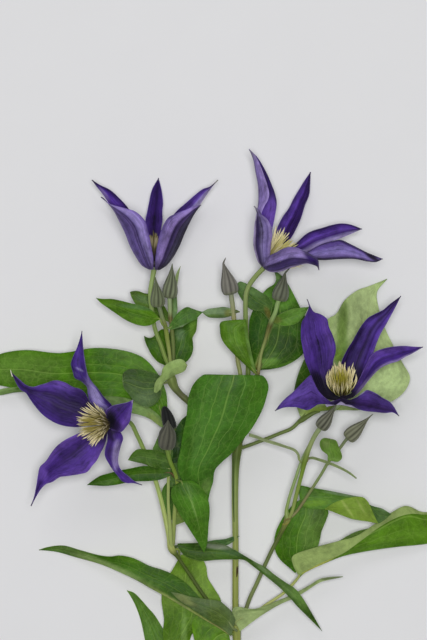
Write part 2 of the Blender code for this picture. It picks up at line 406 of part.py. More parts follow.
# ---------------------------------------------------------------- leaves of the middle axis
leaf("leaf_small_left",  # narrow leaf on the stalk of the third bud
     blade_rows([(228.5, 315.5), (225, 317.5), (215, 318), (208, 317), (204, 314), (202, 312)],
                [(228.8, 309), (223, 307), (215, 308), (208, 309), (204, 311), (202, 312)],
                ([33.5, 32.5, 31.5, 31.5, 32], [34, 34, 33.5, 32.5, 32], [33.5, 32.5, 32, 32, 32]), rows=6))
leaf("leaf_pair_6",     # light leaf left and large dark veined leaf right
     blade_rows([(256.5, 372), (254, 363), (252, 355), (250, 345), (248, 335), (246.8, 325), (246, 319.5)],
                [(253.5, 373), (250, 369.5), (240, 360), (229, 349), (224, 343), (221, 337), (220, 330), (220.5, 322.5), (235, 320), (246, 319.5)],
                ([32.5, 33, 34, 36, 37.5], [33, 36, 37.5, 38.5, 38.5], [32.5, 35, 36.5, 37.5, 38]), rows=8),
     blade_rows([(256, 370), (250, 350), (249, 335), (249.5, 320), (253, 310), (258, 300), (263, 293), (268, 288), (274, 284), (276, 279), (274, 270)],
                [(261, 370), (272, 369), (287, 365), (303.5, 353), (309, 335), (306, 318), (302, 311), (295, 297), (288, 284), (283, 277), (274, 270)],
                ([24.5, 22, 20.5, 19.5, 18.5, 17.5], [25.5, 25.5, 24, 21.5, 19, 17.5], [24.5, 23, 21.5, 20, 18.5, 17.5]), rows=11,
                neck=[(257, 375.3, 32.3, 2.6), (262.5, 376, 30.5, 2.6), (264, 374.3, 27.5, 2.6)]))
leaf("leaf_pair_7",     # pair at the node under the fourth bud
     blade_rows([(268.5, 321), (262, 312), (251, 309.5), (246, 305), (242, 300), (239, 295), (237, 290), (236.5, 284)],
                [(270, 317), (272, 303), (268, 297), (260, 291.5), (249, 285), (245, 283), (240, 281.5), (236.5, 284)],
                ([28.2, 26.5, 25, 24.5, 24], [28.5, 25.5, 24.5, 24, 24], [28.5, 27, 26, 25, 24]), rows=7),
     blade_rows([(272, 318.5), (282, 313), (292, 309), (302, 307.5), (309, 307)],
                [(272, 322), (285, 326), (297, 323), (303, 317), (309, 307)],
                ([28.5, 28, 27.5, 26.5, 26], [28.3, 26.5, 26, 26, 26], [28.5, 27.5, 27, 26.5, 26]), rows=6))

# ---------------------------------------------------------------- leaves of the main node
leaf("leaf_drooping_upper",  # big leaf that arches over in front of the stems
     blade_rows([(254, 377), (262, 375.5), (267, 381), (268.5, 387), (267, 395), (263, 408), (257, 420), (250, 431), (245, 437), (231, 454), (222, 462), (215, 470), (213, 482), (210, 492), (206, 512)],
                [(214, 377), (205, 374.5), (199, 378), (193, 385), (190, 392), (188, 400), (186.5, 416), (183, 434), (180, 452), (177.5, 464), (180, 476), (187, 490), (195, 503), (206, 512)],
                ([41.5, 41, 40, 38.5, 37.5, 36, 32, 27], [47.5, 48, 46, 43.5, 40.5, 38, 33, 27], [43, 43, 41, 38.5, 35.5, 32.5, 29.5, 27]), rows=12,
                neck=[(232, 441.5, 27.5, 2.8), (231, 415, 33.0, 2.8), (233, 390, 40.0, 3.0)]))
leaf("leaf_drooping_lower",  # its smaller neighbour below
     blade_rows([(184, 480.5), (192, 481), (200, 486), (206, 494), (209.3, 505), (209.5, 515), (208.5, 525), (208, 535), (206.8, 545), (204, 552.5)],
                [(179, 483), (174, 486), (171, 492), (173, 502), (178, 511), (184, 521), (190, 530), (197, 541), (204, 552.5)],
                ([40, 39.5, 38, 35, 31, 27], [41, 42, 40.5, 37, 32, 27], [39.5, 38.5, 37, 34.5, 31, 27]), rows=8))
leaf("leaf_behind",     # dark leaf half hidden behind the drooping one
     blade_rows([(196, 470), (198, 455), (198, 440), (196, 428), (190, 418), (187, 415)],
                [(186, 471), (177, 466), (173, 460), (174, 445), (176, 430), (181, 420.5), (187, 415)],
                ([25, 26, 27, 28, 28], [24, 24, 25, 26.5, 28], [25, 25, 25, 26, 28]), rows=6,
                neck=[(203, 500, 21.5, 3.0), (194, 484, 22.5, 3.0)]))
leaf("leaf_pale_back",  # broad leaf behind flower c, underside up, tip on the surface
     blade_rows([(299, 412), (293, 396), (297, 378), (304, 360), (316, 338), (328, 319), (336, 314), (345, 300), (358, 290), (368, 286.5), (387, 279)],
                [(308, 416), (325, 412), (345, 411), (360, 410), (390, 402), (404, 392), (410, 378), (402, 362), (393, 345), (385, 328), (378, 305), (377, 292), (387, 279)],
                ([16, 17, 16, 14, 9, 1], [15, 12, 11, 10, 6, 0.4], [15.5, 17, 17, 14, 8, 1]), rows=11,
                neck=[(245.5, 447.5, 19.5, 3.4), (262, 441.5, 18.5, 2.8), (280, 434.5, 17.2, 2.8), (295, 426.5, 16.2, 3.0)]),
     rgb=LEAF_PALE)

# ---------------------------------------------------------------- leaves of the left branch
leaf("leaf_pair_8",     # two small leaves at the node of bud 7
     blade_rows([(167.5, 468), (160, 467.5), (152, 466), (144, 464), (135, 462), (128, 460)],
                [(167, 463), (160, 455.5), (152, 451), (145, 449.5), (139, 449), (136, 450), (131, 455), (128, 460)],
                ([32.8, 35, 36.5, 37, 37], [33, 34, 35.5, 36.5, 37], [33, 35, 37, 38, 37]), rows=5),
     blade_rows([(168, 476), (160, 479), (150, 481), (135, 481.5), (125, 483), (115, 485), (105, 486), (95, 485.5), (87, 485)],
                [(166, 470.5), (155, 467.5), (143, 466), (130, 468.5), (120, 470.5), (110, 473), (100, 476), (92, 481), (87, 485)],
                ([32.8, 34, 35, 34.5, 33], [32.8, 33.5, 34, 34, 33], [32.8, 35, 36, 35.5, 33]), rows=7))
leaf("leaf_hanging",    # narrow dark leaf behind the three stalks
     blade_rows([(173.5, 480), (176, 492), (177, 505), (176, 514), (171.5, 520)],
                [(168, 481), (163, 488), (161, 497), (162.5, 508), (167, 516), (171.5, 520)],
                ([21, 20, 19, 18.5, 18], [20.5, 18.5, 17.5, 17.5, 18], [21, 20, 19, 18.5, 18]), rows=5),
     rgb=(0.03, 0.10, 0.015))
leaf("leaf_pair_12",    # broad light leaf that hangs down, and the dark twisted one across the main stem
     blade_rows([(181, 555), (190, 553), (200, 556), (206, 566), (208, 578), (214, 588), (221, 601), (218, 612), (206, 622), (194, 631), (190, 640), (189.5, 655), (188.5, 678), (186, 700)],
                [(178, 560), (174, 567), (168, 577), (163, 588), (161.5, 600), (163, 612), (164, 620), (163, 632), (165, 650), (170, 672), (177, 690), (186, 700)],
                ([12.5, 8.5, 7.3, 6.2, 5.5, 4.5, 3.4], [13, 9.5, 8.4, 7.5, 6.5, 5.5, 3.4], [12.5, 8.5, 7, 6, 5.5, 4.5, 3.4]), rows=10,
                neck=[(178.5, 549.5, 18.6, 3.0)]),
     blade_rows([(180, 544), (195, 543), (215, 542.5), (225, 545), (235, 550), (245, 556), (257, 563), (265, 567), (275, 575), (285, 582), (295, 588.5), (302, 597), (310, 610), (322, 631)],
                [(179.5, 548.5), (185, 555), (193, 559), (203, 561), (215, 560), (232, 559.5), (244, 560), (254, 567), (268, 578), (280, 588), (290, 598), (297, 606), (305, 614), (322, 631)],
                ([22, 23, 22.5, 22, 21.5, 20.5, 18, 13], [21.5, 20.5, 20.5, 21, 20.8, 20, 17, 13], [22, 22, 22, 21.5, 21, 20, 17.5, 13]), rows=12))

# ---------------------------------------------------------------- leaves of the lower node
leaf("leaf_pair_9",     # long leaf to the lower left, its tip on the surface, and the short one over it
     blade_rows([(229, 635), (222, 630), (205, 620), (190, 611), (180, 605), (170, 599), (150, 588), (138, 581), (118, 571.5), (100, 564), (75, 557), (57, 552), (45, 550.5), (39, 550)],
                [(229, 631), (214, 612), (200, 598), (186, 583), (170, 573), (160, 569), (150, 566), (133, 558), (120, 555.5), (110, 556.5), (98, 555), (80, 550), (63, 545.5), (46, 547.5), (39, 550)],
                ([13.5, 13, 13.5, 14, 12, 7, 2, 0.6], [13, 11.5, 12, 13, 11, 6, 1.5, 0.4], [13, 11.5, 11.5, 13.5, 12, 7, 2, 0.6]), rows=12),
     blade_rows([(230, 636), (220, 629), (210, 624), (200, 617), (190, 610), (178, 601), (171, 592)],
                [(235.5, 620), (232, 612), (226, 606), (220, 601.5), (205, 599), (190, 596.5), (180, 593.5), (171, 592)],
                ([18, 19, 19.5, 19.5, 19], [19, 21, 21.5, 21, 19], [19, 20, 20.5, 20.5, 19]), rows=7))
leaf("leaf_node_right",  # pale narrow leaf from the main node to the right
     blade_rows([(232, 614), (236, 608), (245, 609), (255, 609.5), (265, 606), (275, 602), (290, 596), (300, 591), (310, 585.5), (320, 579.5), (330, 577.5), (343, 577)],
                [(240, 631), (247, 625), (255, 618), (265, 611), (280, 602.8), (295, 597), (305, 591.8), (320, 583), (330, 580.3), (343, 577.5)],
                ([16.4, 16, 15.5, 15, 15, 16], [16.6, 17.5, 16.5, 15.5, 15, 16], [16.4, 16.5, 16, 15.2, 15, 16]), rows=10),
     rgb=LEAF_PALE)
leaf("leaf_low_left",   # leaf of the node below, points up to the left
     blade_rows([(231, 700), (205, 706), (180, 704), (160, 685), (150, 662), (145, 640), (141, 620), (136, 605), (128, 591)],
                [(233, 695), (222, 680), (200, 665), (178, 650), (164, 630), (154, 615), (147, 608), (139, 599), (128, 591)],
                ([3.4, 2.4, 2.2, 2.0, 1.5, 0.8], [3.2, 1.4, 1.0, 1.0, 0.6, 0.4], [3.4, 2.6, 2.4, 2.2, 1.5, 0.8]), rows=10))
leaf("leaf_low_right",  # leaf of the same side, points down
     blade_rows([(230, 640), (232, 652), (229, 672), (218, 695), (205, 714), (190, 730)],
                [(227.5, 635), (214, 627), (202, 628), (195.5, 636), (195, 652), (194.5, 675), (193, 700), (190, 730)],
                ([9.5, 8.5, 7.5, 6.5, 5.2, 3.4], [9.4, 9.4, 9, 8, 6.2, 3.4], [9.5, 9.7, 9, 7.8, 6, 3.4]), rows=8),
     rgb=(0.10, 0.25, 0.03))

# ---------------------------------------------------------------- leaves of the right branch
leaf("leaf_pair_10",    # dark broad leaf upwards and the long folded one to the right, tip on the surface
     blade_rows([(294.5, 573), (284, 566), (279, 560), (276, 553), (275, 543), (277, 533), (281, 524), (288, 512), (296, 503), (304, 498)],
                [(299, 570), (310, 560), (317, 550), (321, 538), (324, 530), (328, 520), (328, 511), (320, 502), (304, 498)],
                ([12.5, 13, 14.5, 16.5, 17.5, 18], [12.5, 15, 17, 18.6, 18.8, 18], [12.5, 14, 15.5, 17, 17.8, 18]), rows=8),
     blade_rows([(298, 577), (303, 573), (320, 564), (335, 558.5), (350, 554.5), (365, 551.5), (385, 548), (400, 546), (415, 545), (430, 543), (448, 529)],
                [(293.5, 563), (296, 553.5), (318, 546.5), (342, 540.5), (360, 532), (375, 524), (391, 513), (407, 506.5), (420, 512), (434, 514), (448, 529)],
                ([14, 13.5, 13, 10, 6, 1], [16.5, 18.5, 19.5, 16, 10, 0.4], [17, 17, 17, 15, 9, 1]), rows=12,
                neck=[(250, 616.5, 12.6, 2.6), (266, 605, 12.8, 2.6), (285, 592, 12.2, 2.6), (295.5, 581, 12.6, 3.0)]))
leaf("leaf_right_folded",  # leaf of the upper right node, tip turned down
     blade_rows([(301.5, 503), (300, 497), (300, 486), (310, 487.5), (325, 490), (340, 493), (355, 496), (364, 497.5), (370, 505), (380, 508), (391, 514)],
                [(303.5, 507), (310, 508.5), (325, 509), (332, 509), (340, 513), (352, 518), (365, 520.5), (378, 523), (385, 519), (391, 514)],
                ([20.8, 20.5, 20, 20, 21, 22], [21.5, 21.5, 22, 23, 23, 22], [21, 21, 20.5, 20.5, 21, 22]), rows=10))
leaf("leaf_heart",      # small heart-shaped leaf on the stalk of bud 6
     blade_rows([(327.5, 459.5), (327.5, 455), (322, 450.5), (319.7, 445), (320.5, 440.5), (324, 438), (330, 439)],
                [(332, 461), (338, 461.8), (342, 458), (341, 452), (338.5, 446), (336, 440.5), (330, 439)],
                ([36, 37, 38, 38.5, 38], [36, 36, 36.5, 37.5, 38], [36, 37, 38, 38.5, 38]), rows=5),
     rgb=(0.10, 0.25, 0.03))
leaf("leaf_pair_11",    # two thread-like bracts at the node of bud 5
     blade_rows([(300.5, 460), (299.8, 455), (296, 449.5), (286, 445.5), (276, 442), (266, 439), (257, 435.5), (249, 433)],
                [(298, 460), (297.5, 456), (294, 451.5), (285, 448), (275, 445), (265, 442), (256, 438.5), (249, 436.5)],
                ([33.6, 32, 30, 27, 24, 22.4], [33.6, 32, 30, 27, 24, 22.4], [33.6, 32, 30, 27, 24, 22.4]), rows=6),
     blade_rows([(307.5, 457.5), (312, 456.5), (321, 458.8), (331, 462.3), (341, 466.8), (350, 472), (357, 478)],
                [(307.5, 460), (312, 459.3), (320, 461.5), (330, 465), (340, 469.2), (349, 474), (356, 479)],
                ([33.6, 34, 35, 36, 36, 35], [33.6, 34, 35, 36, 36, 35], [33.6, 34, 35, 36, 36, 35]), rows=5))
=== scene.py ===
import math
import bpy
import bmesh
import numpy as np
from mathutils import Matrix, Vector


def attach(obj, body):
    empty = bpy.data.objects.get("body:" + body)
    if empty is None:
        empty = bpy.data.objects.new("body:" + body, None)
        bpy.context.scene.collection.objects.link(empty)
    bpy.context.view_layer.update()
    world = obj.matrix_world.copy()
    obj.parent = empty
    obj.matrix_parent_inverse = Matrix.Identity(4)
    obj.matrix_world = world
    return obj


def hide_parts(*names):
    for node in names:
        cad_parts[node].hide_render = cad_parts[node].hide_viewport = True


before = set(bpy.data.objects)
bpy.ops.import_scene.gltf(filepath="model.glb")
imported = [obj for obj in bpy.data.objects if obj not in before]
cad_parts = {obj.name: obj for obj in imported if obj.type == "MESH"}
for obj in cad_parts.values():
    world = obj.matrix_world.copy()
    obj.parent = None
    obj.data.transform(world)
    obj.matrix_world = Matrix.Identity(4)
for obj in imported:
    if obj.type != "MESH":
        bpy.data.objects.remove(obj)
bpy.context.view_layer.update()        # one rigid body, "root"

# ---------------------------------------------------------------- the plan, as in the solids
UNIT = 0.00058
PLAN_X, PLAN_Y = 213.5, 320.0
EYE, EYE_REF = 2.0, 0.035
SHIFT = (-0.0026, -0.0873)
LEAF_THICK, SEPAL_THICK = 0.00034, 0.00040
LIFT = 0.00025           # nothing comes nearer the surface than this

looks = bpy.data.collections.new("clematis_looks")
bpy.context.scene.collection.children.link(looks)


def place(p):
    """Plan points (across, down, height in mm) to metres."""
    p = np.asarray(p, float)
    h = p[..., 2] * 0.001
    k = UNIT * (1.0 - (h - EYE_REF) / EYE)
    return np.stack([(p[..., 0] - PLAN_X) * k - SHIFT[0],
                     (PLAN_Y - p[..., 1]) * k - SHIFT[1], h], -1)


def spline(pts, n):
    """n points evenly spaced along a smooth curve through pts."""
    p = np.array(pts, dtype=float)
    if p.ndim == 1:
        p = p[:, None]
    if len(p) == 1:
        return np.repeat(p, n, axis=0)
    ext = np.vstack([2 * p[0] - p[1], p, 2 * p[-1] - p[-2]])
    fine = []
    u = np.linspace(0.0, 1.0, 17)[:-1, None]
    for i in range(len(p) - 1):
        a, b, c, d = ext[i], ext[i + 1], ext[i + 2], ext[i + 3]
        l = np.sqrt(max(np.linalg.norm(c - b), 1e-9))
        la = np.sqrt(max(np.linalg.norm(b - a), 1e-9))
        lc = np.sqrt(max(np.linalg.norm(d - c), 1e-9))
        m1 = (c - b) + l * ((b - a) / la - (c - a) / (la + l))
        m2 = (c - b) + l * ((d - c) / lc - (d - b) / (lc + l))
        fine.append((2 * u**3 - 3 * u**2 + 1) * b + (u**3 - 2 * u**2 + u) * m1
                    + (3 * u**2 - 2 * u**3) * c + (u**3 - u**2) * m2)
    fine = np.vstack(fine + [p[-1:]])
    step = np.linalg.norm(np.diff(fine, axis=0), axis=1)
    s = np.concatenate([[0.0], np.cumsum(step)])
    at = np.linspace(0.0, s[-1], n)
    return np.column_stack([np.interp(at, s, fine[:, k]) for k in range(fine.shape[1])])


def heights(z, n):
    """n heights from a few evenly spaced ones."""
    z = [float(v) for v in (z if hasattr(z, "__len__") else [z])]
    if len(z) == 1:
        return np.full(n, z[0])
    return spline([(i * 20.0, v) for i, v in enumerate(z)], n)[:, 1]


def soft(x, lo, hi):
    """0 below lo, 1 above hi, smooth between."""
    x = np.clip((np.asarray(x, float) - lo) / (hi - lo), 0, 1)
    return x * x * (3 - 2 * x)


EXPO = 0.90              # what a white level surface shows under the studio light
HAZE = 0.010             # what the sheen of the surface adds to that


def lin(rgb):
    """An 8-bit shown colour to the reflectance that shows it."""
    c = np.asarray(rgb, float) / 255
    c = np.where(c <= 0.04045, c / 12.92, ((c + 0.055) / 1.055) ** 2.4)
    green = rgb[1] > rgb[2]
    if rgb[0] >= rgb[1] > rgb[2]:    # creams and yellows as given
        w, bend = 0.0, (1, 1, 1)
    elif green:                      # full greens and full violets come out too pure
        w, bend = np.clip((0.75 - rgb[2] / rgb[1]) / 0.35, 0, 1), (1.20, 0.93, 1.20)
    else:
        w, bend = np.clip((0.75 - rgb[1] / rgb[2]) / 0.40, 0, 1), (1.28, 1.60, 0.88)
    haze = HAZE * (1.0 if green else 0.35)
    return np.clip(c * (1 + (np.array(bend) - 1) * w) / EXPO - haze, 0.0015, 0.95)


def paint(P, S, T, tint, across=(), foot=None, tip=None, patches=()):
    """Colours over a blade: even, or stops across it, then a colour blended in at the foot and at the tip (a near-black
    foot is painted deep shade inside the flower), then soft patches (x, y, long radius, short radius, turn, colour,
    amount), some of them painted shade and painted highlight besides the blade's own marks."""
    C = np.empty(S.shape + (3,))
    C[:] = lin(tint)
    if across:
        at = [a for a, _ in across]
        cs = np.array([lin(c) for _, c in across])
        for k in range(3):
            C[..., k] = np.interp(S, at, cs[:, k])
    for end, x in ((foot, T), (tip, 1 - T)):
        if end:
            rgb, reach, amount = end
            f = ((1 - soft(x, 0, reach)) * amount)[..., None]
            C = C * (1 - f) + lin(rgb) * f
    for x, y, rx, ry, turn, rgb, amount in patches:
        a = math.radians(turn)
        dx, dy = P[..., 0] - x, P[..., 1] - y
        u = (dx * math.cos(a) + dy * math.sin(a)) / rx
        v = (-dx * math.sin(a) + dy * math.cos(a)) / ry
        f = (np.exp(-(u * u + v * v) ** 2.5) * amount)[..., None]
        C = C * (1 - f) + lin(rgb) * f
    return C


# ---------------------------------------------------------------- materials
class Mat:
    """A Principled material and short names for the nodes that feed it."""

    def __init__(self, name):
        self.m = bpy.data.materials.new(name)
        self.m.use_nodes = True
        self.nt = self.m.node_tree
        self.b = self.nt.nodes["Principled BSDF"]

    def node(self, kind, **kw):
        n = self.nt.nodes.new(kind)
        for k, v in kw.items():
            setattr(n, k, v)
        return n

    def put(self, sock, v):
        if isinstance(v, bpy.types.NodeSocket):
            self.nt.links.new(v, sock)
        elif v is not None:
            sock.default_value = v

    def math(self, op, a, b=None, c=None, clamp=False):
        n = self.node("ShaderNodeMath", operation=op, use_clamp=clamp)
        for i, v in enumerate((a, b, c)):
            self.put(n.inputs[i], v)
        return n.outputs[0]

    def mix(self, f, a, b, blend='MIX'):
        n = self.node("ShaderNodeMix", data_type='RGBA', blend_type=blend)
        self.put(n.inputs[0], f)
        self.put(n.inputs[6], a)
        self.put(n.inputs[7], b)
        return n.outputs[2]

    def scaled(self, vec, xyz):
        n = self.node("ShaderNodeVectorMath", operation='MULTIPLY')
        self.put(n.inputs[0], vec)
        n.inputs[1].default_value = xyz
        return n.outputs[0]

    def noise(self, vec, scale, detail=2.0, rough=0.5):
        n = self.node("ShaderNodeTexNoise")
        self.put(n.inputs["Vector"], vec)
        n.inputs["Scale"].default_value = scale
        n.inputs["Detail"].default_value = detail
        n.inputs["Roughness"].default_value = rough
        return n.outputs["Fac"]

    def cells(self, vec, scale, lo, hi):
        """1 on the borders of irregular cells, 0 inside them."""
        n = self.node("ShaderNodeTexVoronoi", feature='DISTANCE_TO_EDGE')
        self.put(n.inputs["Vector"], vec)
        n.inputs["Scale"].default_value = scale
        return self.step(n.outputs["Distance"], lo, hi, 1.0, 0.0)

    def step(self, x, lo, hi, a=0.0, b=1.0):
        n = self.node("ShaderNodeMapRange", interpolation_type='SMOOTHSTEP')
        self.put(n.inputs[0], x)
        for i, v in enumerate((lo, hi, a, b)):
            n.inputs[i + 1].default_value = v
        return n.outputs[0]

    def attr(self, name, out):
        return self.node("ShaderNodeAttribute", attribute_name=name).outputs[out]

    def blade_uv(self):
        sep = self.node("ShaderNodeSeparateXYZ")
        self.put(sep.inputs[0], self.node("ShaderNodeUVMap", uv_map="blade").outputs[0])
        return sep.outputs[0], sep.outputs[1]

    def gain(self, colour, f):
        """colour times a grey value f."""
        g = self.node("ShaderNodeVectorMath", operation='SCALE')
        self.put(g.inputs[0], colour)
        self.put(g.inputs[3], f)
        return g.outputs[0]

    def bump(self, height, distance, strength):
        n = self.node("ShaderNodeBump")
        n.inputs["Strength"].default_value = strength
        n.inputs["Distance"].default_value = distance
        self.put(n.inputs["Height"], height)
        self.put(self.b.inputs["Normal"], n.outputs[0])


def leaf_material(name, raised, rough, vein_tone, net, spec):
    g = Mat(name)
    tint, flow = g.attr("tint", "Color"), g.attr("flow", "Vector")
    u, v = g.blade_uv()
    wob = g.noise(g.scaled(flow, (0.10, 0.10, 1)), 1.0, 2)
    wob2 = g.noise(g.scaled(flow, (0.22, 0.22, 1)), 1.0, 3)
    a = g.math('ABSOLUTE', g.math('MULTIPLY_ADD', u, 2.0, -1.0))
    aw = g.math('ADD', a, g.math('MULTIPLY_ADD', wob, 0.26, -0.13))
    fade = g.step(v, 0.45, 0.95, 1.0, 0.1)
    main = g.step(a, 0.010, 0.040, 0.85, 0.0)
    for at, w, amt in ((0.33, 0.024, 0.72), (0.64, 0.020, 0.48)):
        d = g.math('ABSOLUTE', g.math('SUBTRACT', aw, at))
        line = g.math('MULTIPLY', g.step(d, w * 0.2, w, amt, 0.0), fade)
        main = g.math('MAXIMUM', main, line)
    # side veins that leave the midrib forwards, and the net between them
    slant = g.math('ADD', g.math('MULTIPLY', v, 6.0), g.math('MULTIPLY', aw, -1.9))
    slant = g.math('ADD', slant, g.math('MULTIPLY', wob2, 1.3))
    side = g.math('ABSOLUTE', g.math('SUBTRACT', g.math('FRACT', slant), 0.5))
    side = g.math('MULTIPLY', g.step(side, 0.0, 0.035, 0.5, 0.0), g.step(wob2, 0.40, 0.60))
    warp = g.node("ShaderNodeVectorMath", operation='ADD')
    g.put(warp.inputs[0], flow)
    n3 = g.node("ShaderNodeTexNoise")
    g.put(n3.inputs["Vector"], flow)
    n3.inputs["Scale"].default_value = 0.35
    g.put(warp.inputs[1], g.scaled(n3.outputs["Color"], (3.0, 3.0, 0)))
    coarse = g.cells(warp.outputs[0], 0.17, 0.008, 0.055)
    fine = g.cells(warp.outputs[0], 0.62, 0.01, 0.10)
    mesh_ = g.math('MAXIMUM', g.math('MULTIPLY', coarse, net), g.math('MULTIPLY', fine, net * 0.45))
    veins = g.math('MAXIMUM', g.math('MAXIMUM', main, side), mesh_)
    blot = g.noise(g.scaled(flow, (0.075, 0.05, 1)), 1.0, 4, 0.6)
    grain = g.noise(flow, 2.2, 3, 0.6)
    quilt = g.step(g.noise(g.scaled(flow, (0.40, 0.30, 1)), 1.0, 2), 0.3, 0.7, -0.12, 0.12)
    tone = g.math('ADD', g.math('MULTIPLY_ADD', blot, 1.50, 0.25), g.math('MULTIPLY_ADD', grain, 0.50, -0.25))
    tone = g.math('ADD', tone, quilt)
    body = g.gain(tint, tone)
    vein = g.mix(0.30, g.gain(body, vein_tone), (*lin((150, 178, 95)), 1))
    col = g.mix(g.math('MULTIPLY', veins, 0.78), g.gain(body, 0.97), vein)
    g.put(g.b.inputs["Base Color"], col)
    g.put(g.b.inputs["Roughness"], g.math('ADD', g.math('MULTIPLY_ADD', grain, 0.10, rough - 0.05),
                                          g.math('MULTIPLY', blot, 0.06)))
    g.b.inputs["Specular IOR Level"].default_value = spec
    sgn = 1.0 if raised else -1.0
    h = g.math('MULTIPLY_ADD', veins, sgn, g.math('MULTIPLY', grain, 0.22))
    g.bump(h, 0.00025, 0.6)
    return g.m


def sepal_material(name, outer):
    g = Mat(name)
    tint, flow = g.attr("tint", "Color"), g.attr("flow", "Vector")
    u, v = g.blade_uv()
    uvw = g.node("ShaderNodeCombineXYZ")
    g.put(uvw.inputs[0], g.math('MULTIPLY', u, 15.0))
    g.put(uvw.inputs[1], g.math('MULTIPLY', v, 2.4))
    streak = g.noise(uvw.outputs[0], 1.0, 4, 0.65)
    wob = g.noise(g.scaled(flow, (0.12, 0.12, 1)), 1.0, 2)
    nerve = g.math('FRACT', g.math('ADD', g.math('MULTIPLY', u, 13.0), g.math('MULTIPLY', wob, 1.6)))
    nerve = g.step(g.math('ABSOLUTE', g.math('SUBTRACT', nerve, 0.5)), 0.0, 0.13, 1.0, 0.0)
    a = g.math('ABSOLUTE', g.math('MULTIPLY_ADD', u, 2.0, -1.0))
    rib = g.step(a, 0.0, 0.05, 1.0, 0.0)
    grain = g.noise(flow, 2.6, 4, 0.65)
    velvet = g.noise(g.scaled(flow, (0.5, 0.24, 1)), 1.0, 4, 0.6)
    tone = g.math('ADD', g.math('MULTIPLY_ADD', streak, 1.50, 0.25), g.math('MULTIPLY_ADD', grain, 0.70, -0.35))
    tone = g.math('ADD', tone, g.math('MULTIPLY_ADD', velvet, 1.30, -0.65))
    # Broad lighter and darker patches at random: the sepals' own mottling, and painted velvety highlight and painted
    # shade.
    mottle_light_and_shade = g.noise(g.scaled(flow, (0.11, 0.07, 1)), 1.0, 3, 0.55)
    tone = g.math('ADD', tone, g.math('MULTIPLY_ADD', mottle_light_and_shade, 1.80, -0.90))
    tone = g.math('MAXIMUM', tone, 0.25)
    tone = g.math('SUBTRACT', tone, g.math('MULTIPLY', nerve, 0.15 if outer else 0.12))
    tone = g.math('SUBTRACT', tone, g.math('MULTIPLY', rib, 0.16))
    g.put(g.b.inputs["Base Color"], g.gain(tint, tone))
    g.put(g.b.inputs["Roughness"], g.math('MULTIPLY_ADD', grain, 0.16, 0.52 if outer else 0.46))
    g.b.inputs["Specular IOR Level"].default_value = 0.18
    g.b.inputs["Sheen Weight"].default_value = 0.16 if outer else 0.11
    g.b.inputs["Sheen Roughness"].default_value = 0.45
    g.b.inputs["Sheen Tint"].default_value = (0.70, 0.60, 0.95, 1)
    h = g.math('ADD', g.math('MULTIPLY', nerve, 0.8 if outer else -0.8), g.math('MULTIPLY', grain, 0.6))
    h = g.math('ADD', h, g.math('MULTIPLY', velvet, 1.6))
    g.bump(h, 0.00022, 0.6)
    return g.m


def stem_material(name, rough, sheen, downy):
    g = Mat(name)
    tint, flow = g.attr("tint", "Color"), g.attr("flow", "Vector")
    streak = g.noise(g.scaled(flow, (1.6, 1.6, 0.07)), 1.0, 3, 0.6)
    blot = g.noise(g.scaled(flow, (0.2, 0.2, 0.2)), 1.0, 3)
    grain = g.noise(flow, 3.2, 2)
    tone = g.math('ADD', g.math('MULTIPLY_ADD', streak, 0.50, 0.72), g.math('MULTIPLY_ADD', blot, 0.28, -0.14))
    tone = g.math('ADD', tone, g.math('MULTIPLY_ADD', grain, 0.20 if downy else 0.10, -0.07))
    g.put(g.b.inputs["Base Color"], g.gain(tint, tone))
    g.put(g.b.inputs["Roughness"], g.math('MULTIPLY_ADD', grain, 0.15, rough))
    g.b.inputs["Specular IOR Level"].default_value = 0.15 if downy else 0.25
    g.b.inputs["Sheen Weight"].default_value = sheen
    g.b.inputs["Sheen Roughness"].default_value = 0.5
    g.bump(g.math('ADD', streak, g.math('MULTIPLY', grain, 0.8 if downy else 0.2)), 0.00018, 0.5)
    return g.m


def stamen_material(name, rough):
    g = Mat(name)
    tint, flow = g.attr("tint", "Color"), g.attr("flow", "Vector")
    grain = g.noise(flow, 3.5, 2)
    long_ = g.noise(g.scaled(flow, (3.0, 3.0, 0.25)), 1.0, 2)
    tone = g.math('ADD', g.math('MULTIPLY_ADD', grain, 0.26, 0.77), g.math('MULTIPLY_ADD', long_, 0.24, -0.02))
    g.put(g.b.inputs["Base Color"], g.gain(tint, tone))
    g.put(g.b.inputs["Roughness"], g.math('MULTIPLY_ADD', grain, 0.2, rough))
    g.b.inputs["Specular IOR Level"].default_value = 0.3
    g.bump(g.math('ADD', grain, long_), 0.0001, 0.4)
    return g.m


UPPER = leaf_material("leaf_upper", False, 0.44, 1.50, 0.34, 0.14)
UNDER = leaf_material("leaf_under", True, 0.66, 1.18, 0.42, 0.12)
INNER = sepal_material("sepal_inner", False)
OUTER = sepal_material("sepal_outer", True)
STEM = stem_material("stem_green", 0.42, 0.0, False)
BUD = stem_material("bud_downy", 0.66, 0.12, True)
STAMEN = stamen_material("stamen_cream", 0.6)


# ---------------------------------------------------------------- meshes
def part(V, F, M, tint, uv, flow):
    return dict(V=V, F=F, M=M, tint=tint, uv=uv, flow=flow)


